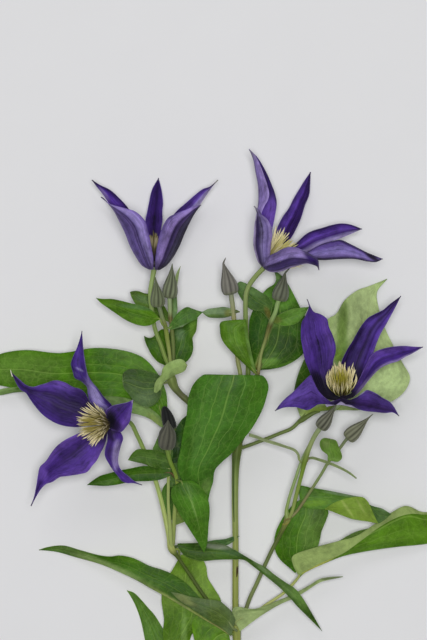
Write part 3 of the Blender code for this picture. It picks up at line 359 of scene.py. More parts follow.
def sheet(P, S, T, front, back, tint_f, tint_b, thick, seed, upper_front, relief=None,
          ref=None, thin=0.5):
    """A closed thin piece on a grid of plan points P (rows x columns). front is the
    material of the side that shows from above at column ref."""
    n, m = S.shape
    W = place(P)
    W[..., 2] = np.maximum(W[..., 2], LIFT)
    ds, dt = np.gradient(W, axis=1), np.gradient(W, axis=0)
    N = np.cross(ds, dt)
    for _ in range(2):
        N = N / np.maximum(np.linalg.norm(N, axis=-1, keepdims=True), 1e-12)
        pad = np.pad(N, ((1, 1), (0, 0), (0, 0)), 'edge')
        N = pad[:-2] + pad[2:] + 2 * N
    N = N / np.maximum(np.linalg.norm(N, axis=-1, keepdims=True), 1e-12)
    j = slice(m // 3, 2 * m // 3) if ref is None else slice(max(0, int(ref * m) - 2), int(ref * m) + 3)
    sign = 1.0 if N[n // 4:3 * n // 4, j, 2].mean() > 0 else -1.0
    Nf = N * sign
    if relief is not None:
        W = W + Nf * (relief if upper_front else -relief)[..., None]
    edge = 1 - thin * np.abs(S) ** 6
    th = (thick * edge / 2)[..., None]
    lift = np.maximum(0, LIFT - (W[..., 2] - th[..., 0]))
    W[..., 2] += lift
    A, B = W + Nf * th, W - Nf * th
    V = np.concatenate([A.reshape(-1, 3), B.reshape(-1, 3)])
    idx = np.arange(n * m).reshape(n, m)
    q = np.stack([idx[:-1, :-1], idx[:-1, 1:], idx[1:, 1:], idx[1:, :-1]], -1).reshape(-1, 4)
    fA = q if sign > 0 else q[:, ::-1]
    fB = (q[:, ::-1] if sign > 0 else q) + n * m
    ring = np.concatenate([idx[0, :], idx[1:, -1], idx[-1, -2::-1], idx[-2:0:-1, 0]])
    nxt = np.roll(ring, -1)
    rim = np.stack([ring, ring + n * m, nxt + n * m, nxt], -1)
    if sign < 0:
        rim = rim[:, ::-1]
    F = np.concatenate([fA, fB, rim])
    M = [front] * len(fA) + [back] * len(fB) + [front] * len(rim)
    tint = np.concatenate([tint_f.reshape(-1, 3), tint_b.reshape(-1, 3)])
    uv = np.stack([(S.ravel() + 1) / 2, T.ravel()], -1)
    mid = np.linalg.norm(np.diff(W[:, m // 2], axis=0), axis=1)
    run = np.concatenate([[0], np.cumsum(mid)])[:, None] * 1000
    acr = np.concatenate([np.zeros((n, 1)), np.cumsum(np.linalg.norm(np.diff(W, axis=1), axis=-1), axis=1)], 1) * 1000
    acr = acr - acr[:, m // 2:m // 2 + 1]
    flow = np.stack([acr, np.broadcast_to(run, acr.shape), np.full(acr.shape, seed * 13.7)], -1).reshape(-1, 3)
    return part(V, F, M, tint, np.concatenate([uv, uv]), np.concatenate([flow, flow]))


def pipe(path, radii, mat, tints, sides=16, ribs=(0, 0.0), seed=0, flat=1.0, turn=0.0, groove=None):
    """A closed tube along path (metres) with a radius (metres) and a colour at each
    point; ribs is (count, share of the radius)."""
    path, radii = np.asarray(path, float), np.asarray(radii, float)
    n = len(path)
    t = np.gradient(path, axis=0)
    t /= np.maximum(np.linalg.norm(t, axis=1, keepdims=True), 1e-12)
    up = np.array([0.0, 0.0, 1.0]) if abs(t[0][2]) < 0.9 else np.array([1.0, 0.0, 0.0])
    side = np.cross(up, t[0])
    side /= np.linalg.norm(side)
    U = np.empty((n, 3))
    for i in range(n):
        side = side - t[i] * np.dot(side, t[i])
        side /= np.linalg.norm(side)
        U[i] = side
    Vv = np.cross(t, U)
    th = np.linspace(0, 2 * np.pi, sides, endpoint=False)
    run = np.concatenate([[0], np.cumsum(np.linalg.norm(np.diff(path, axis=0), axis=1))])
    f = run / max(run[-1], 1e-9)
    ang = th[None, :] + turn * f[:, None]
    r = radii[:, None] * (1 + ribs[1] * np.cos(ribs[0] * th)[None, :]) * np.ones((n, sides))
    if groove is not None:
        r = r * groove(th[None, :], f[:, None])
    V = (path[:, None, :] + (np.cos(ang) * r)[..., None] * U[:, None, :]
         + (np.sin(ang) * r * flat)[..., None] * Vv[:, None, :]).reshape(-1, 3)
    idx = np.arange(n * sides).reshape(n, sides)
    nx = np.roll(idx, -1, axis=1)
    q = np.stack([idx[:-1], nx[:-1], nx[1:], idx[1:]], -1).reshape(-1, 4)
    F = [list(x) for x in q] + [list(idx[0][::-1]), list(idx[-1])]
    tints = np.asarray(tints, float)
    if tints.ndim == 2:
        tints = np.repeat(tints[:, None, :], sides, axis=1)
    flow = np.stack([(np.cos(th)[None, :] * radii[:, None]) * 1000, (np.sin(th)[None, :] * radii[:, None]) * 1000,
                     np.repeat(run[:, None] * 1000, sides, axis=1) + seed * 31.7], -1).reshape(-1, 3)
    uv = np.stack([np.broadcast_to(th[None, :] / (2 * np.pi), (n, sides)).ravel(),
                   np.repeat(f, sides)], -1)
    return part(V, F, [mat] * len(F), tints.reshape(-1, 3), uv, flow)


def piece(name, parts, nodes=None):
    """One object from several closed parts; it rides on the spray and stands for its solid."""
    mats, V, F, MI, TI, UV, FL = [], [], [], [], [], [], []
    off = 0
    for p in parts:
        for m in p["M"]:
            if m not in mats:
                mats.append(m)
        V.append(p["V"])
        F += [[int(i) + off for i in f] for f in p["F"]]
        MI += [mats.index(m) for m in p["M"]]
        TI.append(p["tint"])
        UV.append(p["uv"])
        FL.append(p["flow"])
        off += len(p["V"])
    V, TI, UV, FL = map(np.concatenate, (V, TI, UV, FL))
    me = bpy.data.meshes.new(name + "_looks")
    me.from_pydata(V.tolist(), [], F)
    for m in mats:
        me.materials.append(m)
    me.polygons.foreach_set("material_index", MI)
    a = me.attributes.new("tint", 'FLOAT_COLOR', 'POINT')
    a.data.foreach_set("color", np.column_stack([np.clip(TI, 0, 1), np.ones(len(TI))]).astype(np.float32).ravel())
    a = me.attributes.new("flow", 'FLOAT_VECTOR', 'POINT')
    a.data.foreach_set("vector", FL.astype(np.float32).ravel())
    uvl = me.uv_layers.new(name="blade")
    li = np.empty(len(me.loops), np.int32)
    me.loops.foreach_get("vertex_index", li)
    uvl.data.foreach_set("uv", UV[li].astype(np.float32).ravel())
    bm = bmesh.new()
    bm.from_mesh(me)
    bmesh.ops.recalc_face_normals(bm, faces=bm.faces)
    bm.to_mesh(me)
    bm.free()
    me.shade_smooth()
    me.set_sharp_from_angle(angle=math.radians(52))
    ob = bpy.data.objects.new(name + "_looks", me)
    looks.objects.link(ob)
    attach(ob, "root")
    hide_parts(*(nodes or [name]))
    return ob


# ---------------------------------------------------------------- blades
def blade_rows(left, right, z, mid=None, neck=(), fold=False):
    return dict(left=left, right=right, z=z if isinstance(z, tuple) else (z, z, z), mid=mid, neck=neck, fold=fold)


def blade_grid(b, rows, cols, foot, tip):
    """Fine grid of plan points from the margins, foot to tip, left to right."""
    a, c2 = spline(b["left"], rows), spline(b["right"], rows)
    c = spline(b["mid"], rows) if b["mid"] is not None else (a + c2) / 2
    za, zc, zb = (heights(v, rows) for v in b["z"])
    s = np.linspace(-1, 1, cols)
    P = np.empty((rows, cols, 3))
    ref = None
    for i in range(rows):
        q = i / (rows - 1)
        need = foot * (1 - soft(q, 0, 0.06)) + tip
        w = c2[i] - a[i]
        d = np.linalg.norm(w)
        if d < need and not b.get("fold"):
            along = c[min(i + 1, rows - 1)] - c[max(i - 1, 0)]
            side = np.array([-along[1], along[0]]) / max(np.linalg.norm(along), 1e-6)
            if ref is None:
                k = min(rows - 1, i + rows // 5)
                ref = c2[k] - a[k]
            if np.dot(side, ref) < 0:
                side = -side
            if d > 0.02:
                side = side * 0.5 + w / d * 0.5
                side /= max(np.linalg.norm(side), 1e-6)
            a[i], c2[i] = c[i] - side * need / 2, c[i] + side * need / 2
        ref = c2[i] - a[i]
        L = np.array([*a[i], za[i]])
        M = np.array([*c[i], zc[i]])
        R = np.array([*c2[i], zb[i]])
        P[i] = M + s[:, None] * (R - L) / 2 + (s**2)[:, None] * ((R + L) / 2 - M)
    S = np.broadcast_to(s, (rows, cols)).copy()
    T = np.repeat(np.linspace(0, 1, rows)[:, None], cols, axis=1)
    return P, S, T


def multi_grid(stations, rows, cols):
    """Fine grid through stations, foot to tip, each a row of (across, down, height)."""
    st = np.array(stations, float)
    m, k = st.shape[:2]
    mean = st.mean(axis=1)
    run = np.concatenate([[0], np.cumsum(np.linalg.norm(np.diff(mean[:, :2], axis=0), axis=1) + 0.5)])

    def cubic(p, x):                     # uniform Catmull-Rom at fractional index x
        ext = np.concatenate([2 * p[:1] - p[1:2], p, 2 * p[-1:] - p[-2:-1]])
        i = np.clip(np.floor(x).astype(int), 0, len(p) - 2)
        u = (x - i).reshape((-1,) + (1,) * (p.ndim - 1))
        a, b, c, d = ext[i], ext[i + 1], ext[i + 2], ext[i + 3]
        return 0.5 * (2 * b + (c - a) * u + (2 * a - 5 * b + 4 * c - d) * u**2 + (3 * b - a - 3 * c + d) * u**3)
    at = np.interp(np.linspace(0, run[-1], rows), run, np.arange(m))
    R = cubic(st, at)                    # rows x k x 3
    C = cubic(R.transpose(1, 0, 2), np.linspace(0, k - 1, cols)).transpose(1, 0, 2)
    S = np.repeat(np.linspace(-1, 1, cols)[None, :], rows, axis=0)
    T = np.repeat(np.linspace(0, 1, rows)[:, None], cols, axis=1)
    return C, S, T


def leaf_relief(S, T, depth, seed):
    """Raised quilting between sunk main veins, in metres along the upper face."""
    a = np.abs(S)
    r = np.exp(-(a / 0.07) ** 2) * 1.0
    r += 0.55 * np.exp(-((a - 0.33) / 0.06) ** 2) + 0.4 * np.exp(-((a - 0.64) / 0.055) ** 2)
    q = 0.35 * np.sin(T * 44 + 3.0 * a + seed) * np.sin(np.pi * np.clip(a * 3.05, 0, 3)) ** 2
    f = soft(T, 0.0, 0.08) * (1 - soft(T, 0.9, 1.0))
    return -(r + q) * depth * f


def stalk_of(pts, seed, tint, into=2):
    """A leaf stalk: (across, down, height, diameter in mm) points."""
    p = spline(pts, max(10, 7 * len(pts)))
    rgb = np.array([lin(tint)] * len(p))
    return pipe(place(p[:, :3]), p[:, 3] * 0.0005, STEM, rgb, sides=12, ribs=(3, 0.05), seed=seed)


def sized(P):
    """Rows and columns for an even, fine mesh on a blade's outline."""
    l = np.linalg.norm(np.diff(P[:, P.shape[1] // 2, :2], axis=0), axis=1).sum()
    w = np.linalg.norm(np.diff(P[P.shape[0] // 2, :, :2], axis=0), axis=1).sum()
    return int(np.clip(l * 0.95, 26, 120)), int(np.clip(w * 1.1, 15, 45)) | 1


def blade_part(b, look, seed, kind="leaf"):
    under_seen = look.get("seen") == ("under" if kind == "leaf" else "out")
    foot, tip = (1.5, 0.5) if kind == "leaf" else (2.4, 0.8)
    if "stations" in b:
        P, S, T = multi_grid(b["stations"], 30, 15)
        P, S, T = multi_grid(b["stations"], *sized(P))
    else:
        P, S, T = blade_grid(b, 30, 15, foot, tip)
        P, S, T = blade_grid(b, *sized(P), foot, tip)
    amp, num, ph = look.get("wave", (0.45, 3.2, seed * 1.7))
    env = np.sin(np.pi * np.clip(T, 0, 1)) ** 0.7
    P[..., 2] += amp * np.abs(S) ** 3 * np.sin(2 * np.pi * num * T + ph + (S > 0) * 1.9) * env
    base = look["tint"]
    back = look.get("back")
    if kind == "leaf":
        front_m, back_m = (UNDER, UPPER) if under_seen else (UPPER, UNDER)
        if back is None:
            back = (150, 170, 115) if not under_seen else (66, 112, 38)
        rel = leaf_relief(S, T, 0.00018, seed)
        back_c = paint(P, S, T, back) if isinstance(back, tuple) else paint(P, S, T, **back)
    else:
        front_m, back_m = (OUTER, INNER) if under_seen else (INNER, OUTER)
        rel = 0.00022 * (np.exp(-((np.abs(S) - 0.24) / 0.07) ** 2) + np.exp(-(S / 0.07) ** 2)) * env
        rel = -rel
        if back is None:
            back_c = paint(P, S, T, *(DEFAULT_OUT if not under_seen else DEFAULT_IN))
        else:
            back_c = paint(P, S, T, back) if isinstance(back, tuple) else paint(P, S, T, **back)
    front_c = paint(P, S, T, base, look.get("across", ()), look.get("foot"), look.get("tip"),
                    look.get("patches", ()))
    g = np.array(GAIN.get(look.get("name"), (1, 1, 1)))
    front_c, back_c = front_c * g, back_c * g
    if "seat" in look:                   # carry the foot into the seat of the flower
        c, k = np.array(look["seat"], float), 7
        f = np.linspace(1, 1 / k, k)[:, None, None]
        row = P[:1]
        mid = row.mean(axis=1, keepdims=True)
        add = mid + (c - mid) * f + (row - mid) * (1 - 0.45 * f)
        P = np.concatenate([add, P])
        S = np.concatenate([np.repeat(S[:1], k, axis=0), S])
        T = np.concatenate([np.zeros((k, S.shape[1])), T])
        front_c, back_c, rel = (np.concatenate([np.repeat(q[:1], k, axis=0), q]) for q in (front_c, back_c, rel))
    return sheet(P, S, T, front_m, back_m, front_c, back_c, LEAF_THICK if kind == "leaf" else SEPAL_THICK,
                 seed, not under_seen, rel, look.get("ref"))


LAV, LAVG, LAVD = (126, 106, 172), (138, 124, 166), (100, 82, 150)
MIDV, RIB = (82, 64, 130), (58, 43, 98)
# Violets of the inner faces from lit to shaded, on the sepals' own deep violet: the lighter ones are partly painted
# light and the darker ones partly painted shade; the last, near-black one is painted deep shade at the feet of the
# sepals.
V0, V1, V2, V3, VD, V_SHADE = (88, 56, 164), (74, 44, 152), (60, 33, 130), (46, 23, 100), (33, 15, 72), (16, 8, 32)
GREYT = (112, 108, 112)
DEFAULT_OUT = ((112, 92, 160), [(-1, LAV), (-.55, LAVD), (-.4, RIB), (-.3, MIDV), (-.2, RIB), (-.1, MIDV), (0, RIB),
                                (.1, MIDV), (.2, RIB), (.3, MIDV), (.4, RIB), (.55, LAVD), (1, LAV)],
               ((48, 36, 60), .10, .8), (GREYT, .12, .9))
# Inner faces go near-black at the foot: painted deep shade inside the flower.
DEFAULT_IN = ((60, 33, 130), [(-1, V1), (-.5, V2), (0, V3), (.5, V2), (1, V1)], (V_SHADE, .22, 1), (VD, .1, .7))

LOOKS = {
 "leaf_pair_1": [
  dict(tint=(74, 126, 28), patches=[(138, 307, 26, 2.6, 6, (78, 116, 66), .7), (128, 312.5, 26, 2.6, 13, (50, 96, 18), .6), (112, 303, 10, 4, 15, (84, 134, 36), .5)]),
  dict(tint=(70, 122, 44), patches=[(186, 325, 14, 1.4, -20, (112, 150, 92), .8), (186, 316, 12, 3, -28, (80, 132, 58), .5)])],
 "leaf_pair_2": [
  dict(tint=(66, 108, 36), patches=[(143, 299, 9, 4, 20, (76, 110, 66), .6), (160, 310, 8, 8, 0, (48, 84, 26), .5)]),
  dict(tint=(88, 126, 74), patches=[(178, 275, 3, 12, 10, (132, 162, 104), .9), (171, 305, 3, 14, 0, (52, 84, 30), .7)])],
 "leaf_pair_3": [
  dict(tint=(46, 88, 20), patches=[(150, 343, 5, 8, -20, (34, 74, 18), .6)]),
  dict(tint=(48, 92, 30), patches=[(193, 330, 4, 10, 5, (68, 114, 38), .9), (180, 334, 5, 7, 0, (76, 112, 70), .8), (183, 354, 8, 5, 0, (36, 78, 20), .6)])],
 "leaf_pair_4": [
  # Round leaf: its dull dark tint is painted shade on a leaf turned away from the light.
  dict(tint=(60, 86, 44), patches=[(146, 398, 14, 7, -15, (80, 100, 66), .8), (138, 376, 10, 4, 0, (52, 88, 34), .5)], wave=(.3, 2, 1)),
  dict(tint=(132, 158, 92), seen="under", patches=[(176, 365, 10, 3, -15, (132, 160, 92), .6), (160, 383, 5, 4, -60, (150, 172, 108), .6), (178, 361, 8, 2, -10, (148, 172, 108), .6)])],
 "leaf_pair_5": [
  dict(tint=(64, 118, 24), wave=(.8, 3.4, .4), patches=[(20, 368, 42, 16, 0, (86, 136, 46), .75), (104, 370, 9, 26, -12, (48, 98, 14), .6), (138, 366, 26, 6, 40, (78, 128, 40), .5),
       (120, 392, 26, 5, 8, (58, 110, 16), .5), (60, 362, 26, 6, 0, (74, 122, 38), .4)]),
  dict(tint=(120, 162, 84), seen="under", patches=[(12, 393, 16, 4, -6, (84, 124, 56), .8), (155, 420, 10, 4, 40, (120, 150, 66), .6)])],
 "leaf_small_left": [
  dict(tint=(116, 136, 100), patches=[(214, 316, 14, 2, 0, (84, 116, 58), .9), (228, 313, 4, 4, 0, (104, 118, 46), .8)])],
 "leaf_pair_6": [
  dict(tint=(73, 121, 31), patches=[(228, 330, 7, 12, 0, (66, 116, 22), .5), (250, 350, 2.2, 26, -12, (104, 148, 72), .7), (238, 340, 3, 16, -20, (90, 144, 50), .3)]),
  # Dark veined leaf: the broad light patches on its upper part and the dark patches in its middle are painted light and
  # painted shade on the curved blade.
  dict(tint=(46, 88, 22), wave=(.7, 3, 2), patches=[(283, 296, 14, 13, 40, (82, 140, 46), .85), (262, 298, 8, 8, -30, (74, 130, 48), .7), (266, 363, 13, 4.5, -12, (94, 150, 52), .85),
       (288, 345, 13, 11, 0, (32, 60, 14), .75), (286, 365, 16, 2.6, -12, (80, 134, 44), .7), (255, 333, 6, 22, 8, (30, 66, 8), .75), (286, 322, 16, 4, -15, (88, 134, 52), .55),
       (276, 279, 5, 6, 0, (96, 142, 70), .8), (264, 345, 1.6, 26, 22, (126, 142, 78), .75), (259, 366, 3, 5, 20, (104, 92, 48), .8)])],
 "leaf_pair_7": [
  dict(tint=(60, 92, 42), patches=[(249, 289, 16, 4, 28, (88, 122, 68), .85), (256, 302, 12, 3.5, 40, (44, 82, 26), .7), (268, 313, 3, 7, -25, (96, 82, 42), .7)]),
  dict(tint=(74, 118, 42), patches=[(276, 320, 6, 4, 0, (104, 100, 56), .6), (290, 311, 14, 1.6, -14, (92, 132, 60), .5)])],
 "leaf_drooping_upper": [
  # Among its patches, the dark strip along the left margin is painted shade where that margin curls away from the
  # light.
  dict(tint=(62, 116, 36), wave=(.9, 2.6, 1), patches=[(192, 388, 6, 14, 12, (50, 92, 28), .7), (254, 392, 10, 16, 10, (66, 118, 32), .5),
       (206, 400, 2.0, 30, 24, (80, 130, 56), .3), (206, 487, 5, 9, 20, (98, 140, 66), .8), (196, 440, 9, 26, 18, (72, 120, 50), .5), (188, 455, 4, 20, 8, (50, 98, 22), .6), (235, 435, 12, 8, -40, (54, 104, 30), .5)])],
 "leaf_drooping_lower": [
  dict(tint=(64, 116, 34), patches=[(188, 489, 15, 7, 12, (54, 98, 32), .8), (193, 506, 1.2, 24, -16, (104, 144, 74), .5), (197, 528, 8, 14, -18, (56, 108, 22), .6)])],
 "leaf_behind": [
  # Its dark tint is painted shade: it fills a shaded strip by the drooping leaf's curled margin.
  dict(tint=(32, 70, 10), patches=[(176, 447, 2.4, 22, 3, (26, 54, 8), .8), (186, 430, 4, 10, 20, (44, 90, 14), .6)])],
 "leaf_pale_back": [
  dict(tint=(156, 180, 114), seen="under", back=(80, 128, 40), wave=(.6, 3, 0), ref=.55, stalk=(92, 118, 56),
       patches=[(342, 330, 6, 34, 4, (92, 130, 52), .95), (303, 380, 11, 32, 14, (44, 80, 22), 1), (296, 398, 5, 9, 20, (72, 110, 38), .8), (322, 410, 22, 4.5, -8, (112, 146, 50), .9), (338, 356, 5, 8, 0, (84, 124, 36), .9),
                (330, 322, 5, 9, 10, (140, 172, 96), .6), (386, 380, 20, 18, -20, (172, 200, 128), .7), (345, 350, 3.5, 12, 14, (84, 124, 48), .7), (366, 300, 10, 12, 0, (164, 186, 122), .5),
                (355, 409, 14, 2.5, 0, (120, 146, 80), .8)])],
 "leaf_pair_8": [
  dict(stalk=(98, 84, 50), tint=(62, 104, 42), patches=[(150, 456, 16, 3, 8, (74, 116, 54), .5), (162, 465, 8, 3, 0, (48, 88, 30), .7)]),
  dict(stalk=(92, 74, 46), tint=(46, 92, 18), patches=[(148, 472, 24, 2.2, -3, (64, 108, 30), .5), (112, 482, 14, 3, 0, (56, 100, 24), .5), (150, 478, 22, 2, 0, (36, 82, 10), .5)])],
 "leaf_hanging": [
  dict(tint=(56, 92, 44), patches=[(171, 500, 2.6, 24, -4, (34, 62, 16), .8)])],
 "leaf_pair_12": [
  dict(tint=(88, 136, 38), patches=[(186, 566, 10, 8, 20, (74, 124, 24), .6), (180, 626, 28, 22, 0, (60, 106, 16), .9), (204, 580, 6, 16, -20, (100, 152, 46), .6), (184, 640, 3, 30, 0, (112, 160, 70), .4)], ref=.5),
  dict(tint=(50, 88, 28), stalk=(56, 84, 38), patches=[(285, 583, 32, 4.5, 45, (82, 122, 54), .8), (216, 546.5, 16, 2.6, 6, (116, 130, 96), .9), (262, 568, 12, 2.0, 38, (96, 134, 70), .85), (300, 598, 16, 5, 52, (76, 122, 44), .85), (196, 548, 12, 4, 8, (36, 76, 24), .6),
       (235, 553, 14, 2.6, 12, (66, 100, 56), .6), (282, 580, 12, 3, 42, (58, 100, 36), .6)], wave=(.2, 2, 0))],
 "leaf_pair_9": [
  dict(tint=(52, 100, 20), wave=(.5, 3, 0), patches=[(104, 565.5, 44, 5.0, 23, (108, 142, 82), .92), (150, 588, 26, 3.2, 27, (90, 122, 62), .75), (70, 549.5, 26, 3.4, 6, (76, 120, 48), .7), (172, 584, 16, 6, 32, (44, 92, 12), .6), (132, 560, 18, 2.5, 12, (70, 122, 30), .5),
       (190, 611, 40, 2.4, 31, (142, 168, 94), .75), (215, 627, 20, 2.0, 30, (160, 172, 110), .9)]),
  dict(tint=(84, 110, 70), patches=[(186, 600, 12, 4, 25, (116, 136, 84), .8), (218, 616, 14, 10, 40, (62, 94, 34), .85), (206, 618, 14, 2, 35, (66, 104, 48), .7), (200, 604, 14, 2, 25, (62, 96, 50), .6)], wave=(.2, 2, 0))],
 "leaf_node_right": [
  dict(tint=(134, 162, 100), seen="under", patches=[(250, 610.5, 16, 1.2, -5, (104, 132, 76), .8), (236, 621, 6, 5, 0, (128, 158, 92), .5), (300, 590, 22, 1.4, -28, (100, 124, 76), .7),
       (332, 578, 12, 1.6, -6, (96, 112, 78), .8)], wave=(.1, 2, 0))],
 "leaf_low_left": [
  dict(tint=(74, 122, 42), patches=[(150, 640, 6, 18, -25, (66, 114, 34), .4)])],
 "leaf_low_right": [
  dict(tint=(84, 136, 34), patches=[(205, 632, 8, 5, 0, (62, 114, 22), .6), (224, 640, 4, 8, 0, (104, 156, 46), .6)])],
 "leaf_pair_10": [
  dict(stalk=(150, 168, 90), tint=(60, 112, 24), patches=[(314, 530, 14, 26, 12, (79, 122, 48), .85), (282, 545, 6, 12, 0, (66, 122, 20), .4), (290, 566, 10, 6, 20, (52, 104, 14), .6)]),
  dict(tint=(74, 126, 30), stalk=(160, 178, 98), ref=.15, seen="up", back=(126, 156, 86), wave=(.2, 3, 0), patches=[(320, 563, 26, 2.6, -28, (178, 202, 96), .9), (400, 536, 36, 5, -8, (84, 136, 40), .5), (396, 544, 40, 2.5, -4, (66, 116, 30), .6)])],
 "leaf_right_folded": [
  dict(tint=(66, 116, 34), wave=(.15, 2, 0), patches=[(316, 503, 14, 3.4, -4, (84, 134, 32), .8), (345, 494.5, 22, 2.0, 8, (104, 132, 88), .8), (306, 492, 6, 5, 0, (52, 100, 24), .6)]),
  dict(tint=(98, 140, 46), seen="under", wave=(.1, 2, 0), patches=[(335, 508, 8, 4, 10, (92, 134, 40), .8), (347, 508, 1.4, 12, -35, (140, 170, 84), .45), (361, 507, 1.2, 10, -30, (140, 170, 84), .4), (366, 517, 10, 4, 20, (104, 144, 48), .7)]),
  # The tip piece: its dark tint is painted shade on the upper face.
  dict(tint=(56, 96, 36), wave=(.1, 2, 0), patches=[(374, 514, 3, 6, 0, (44, 84, 26), .6), (384, 509, 6, 2, 15, (90, 118, 76), .6)])],
 "leaf_heart": [
  dict(tint=(84, 140, 46), patches=[(326, 444, 4, 4, 0, (104, 152, 66), .6), (334, 454, 4, 5, 0, (70, 126, 30), .5)])],
 "leaf_pair_11": [
  dict(tint=(118, 144, 88), seen="under", wave=(0, 1, 0)), dict(tint=(104, 132, 74), seen="under", wave=(0, 1, 0))],

 # sepals: the side that shows from above, left margin at -1, right margin at 1
 # A near-black foot on an inner face is painted deep shade inside the flower.
 "flower_a_sepal_1": dict(seen="in", tint=V2, across=[(-1, V2), (-.2, V1), (.4, V2), (.75, V3), (1, VD)], tip=((20, 16, 24), .12, .8),
      patches=[(104, 194, 9, 2.2, 52, LAVG, .85), (116, 202, 9, 4, 35, V0, .5)]),
 # Outer face: lavender margins and darker stripes are its own colour; the lighter right half is partly painted light.
 "flower_a_sepal_2": dict(seen="out", tint=LAV, across=[(-1, LAVG), (-.86, LAV), (-.72, (50, 34, 96)), (-.5, (82, 62, 142)), (-.3, (92, 70, 150)), (-.18, RIB), (-.08, MIDV), (.02, (46, 30, 92)), (.14, (100, 84, 150)), (.3, (116, 100, 160)), (.62, (128, 110, 176)), (.85, (112, 90, 168)), (1, (92, 66, 156))],
      foot=((48, 34, 78), .14, .75), tip=((90, 86, 96), .09, .9), patches=[(132, 243, 24, 3.6, 64, (72, 52, 132), .85), (127, 226, 12, 2.0, 62, (58, 42, 104), .7), (148, 258, 14, 1.2, 70, (62, 46, 104), .6)]),
 "flower_a_sepal_3": dict(seen="in", tint=V3, across=[(-1, V2), (-.5, V3), (0, VD), (.15, (28, 14, 66)), (.5, V3), (1, (54, 28, 118))], foot=(V_SHADE, .3, .9), tip=(GREYT, .05, .9)),
 # Outer face: the dark right half is painted shade on the side turned away from the light; the lavender left half is
 # its own colour.
 "flower_a_sepal_4": dict(seen="out", tint=LAV, across=[(-1, (92, 68, 160)), (-.8, (122, 100, 180)), (-.45, (134, 112, 182)), (-.12, (120, 98, 166)), (-.02, RIB), (.08, (44, 28, 78)), (.2, RIB), (.3, (70, 52, 112)), (.42, (44, 34, 66)), (.6, (62, 56, 88)), (.8, (42, 38, 58)), (1, (30, 28, 42))],
      foot=((30, 20, 48), .16, .8), tip=((60, 58, 70), .07, .9)),
 "flower_a_sepal_5": dict(seen="in", tint=V2, across=[(-1, V2), (-.5, V2), (-.1, V1), (.15, (88, 66, 156)), (.4, LAV), (1, LAVG)], tip=((122, 118, 108), .13, .95)),
 "flower_b_sepal_1": dict(seen="out", tint=LAV, ref=.03, across=[(-1, (142, 124, 182)), (-.75, LAV), (-.5, (120, 100, 172)), (-.3, (112, 96, 150)), (0, LAVD), (1, LAV)],
      back=dict(tint=(70, 43, 146), across=[(-1, V1), (0, V2), (1, (84, 56, 158))], patches=[(266, 178, 26, 7, 66, (34, 18, 78), .97), (271, 213, 13, 6, 98, (88, 56, 164), 1)]),
      foot=((60, 44, 80), .1, .7), tip=((118, 114, 122), .16, .9)),
 "flower_b_sepal_2": dict(seen="out", tint=LAV, across=[(-1, LAVG), (-.84, LAVG), (-.74, (34, 20, 66)), (-.5, (40, 26, 82)), (-.32, (56, 42, 94)), (-.18, (92, 80, 128)), (-.06, (100, 86, 140)), (.02, MIDV), (.12, (112, 96, 160)), (.4, LAVD), (.55, (84, 66, 136)), (.75, LAV), (1, (112, 88, 172))],
      foot=((52, 40, 84), .14, .7), tip=((104, 100, 108), .16, .95), patches=[(262, 212, 5, 3, 40, (38, 22, 78), .8)]),
 "flower_b_sepal_3": dict(seen="in", tint=V2, across=[(-1, V2), (-.8, V1), (-.15, V1), (.02, V3), (.2, VD), (.5, V3), (.75, VD), (1, V3)], foot=(V_SHADE, .2, .9), tip=((46, 24, 84), .1, .6)),
 "flower_b_sepal_4": dict(seen="in", tint=V2, across=[(-1, VD), (-.7, V2), (-.2, V1), (.2, V3), (.36, V3), (.46, (84, 66, 132)), (.62, (98, 80, 148)), (.8, LAVG), (1, LAV)], foot=(V_SHADE, .42, 1), tip=(VD, .1, .8)),
 "flower_b_sepal_5": dict(seen="out", tint=LAVD, across=[(-1, VD), (-.78, (46, 26, 104)), (-.66, (84, 62, 150)), (-.3, (112, 92, 172)), (.1, (104, 88, 160)), (.3, (118, 100, 170)), (.5, LAVD), (.66, MIDV), (.8, (52, 44, 76)), (1, (44, 38, 62))],
      foot=((60, 40, 100), .2, .7), tip=((44, 40, 52), .1, .85),
      patches=[(328, 246, 16, 2.4, -14, (84, 58, 156), .9), (348, 244.4, 22, 1.5, 25, (38, 20, 84), 1), (371, 256.2, 10, 2.4, 32, (26, 16, 48), 1), (340, 258.6, 26, 1.2, 0, (44, 34, 70), .9)]),
 # Outer face: the dark lower half beyond the keel is painted shade; the lavender upper half and the pale lower margin
 # are its own colour; the dark patches near the tip are the inner face where the tip curls.
 "flower_b_sepal_6": dict(seen="out", tint=LAV, across=[(-1, LAVD), (-.6, LAV), (-.2, (134, 116, 182)), (.04, (112, 94, 160)), (.1, (40, 28, 74)), (.3, (50, 34, 92)), (.6, (60, 42, 112)), (.82, RIB), (.9, LAVG), (1, LAVG)],
      foot=((44, 30, 80), .12, .7), patches=[(311.5, 257.5, 10, 5, 47, (36, 14, 90), 1), (316.5, 262, 5, 4.4, 60, (34, 14, 84), 1), (318, 267, 2.5, 3, 70, (60, 52, 78), .8)]),
 # On sepals 1 and 2 of flower c the near-black patches beside the stamens are painted deep shade at the bottom of the
 # cup.
 "flower_c_sepal_1": dict(seen="in", tint=V1, across=[(-1, V1), (-.6, V1), (-.25, (67, 38, 141)), (-.05, V1), (.2, (68, 39, 143)), (.45, V1), (.75, V0), (1, V1)], foot=(V_SHADE, .54, 1), tip=((24, 14, 34), .1, .95),
      patches=[(316, 318, 8, 5, 0, (64, 34, 132), .5), (306, 345, 4, 14, 0, V0, .5), (320, 384, 16, 6, 62, (16, 8, 34), .95)]),
 "flower_c_sepal_2": dict(seen="in", tint=V2, across=[(-1, V3), (-.75, VD), (-.38, (62, 40, 124)), (-.15, V3), (.1, VD), (.3, (60, 38, 120)), (.5, V3), (.8, V1), (1, (88, 60, 152))], foot=(V_SHADE, .48, 1), tip=((28, 14, 50), .12, .9),
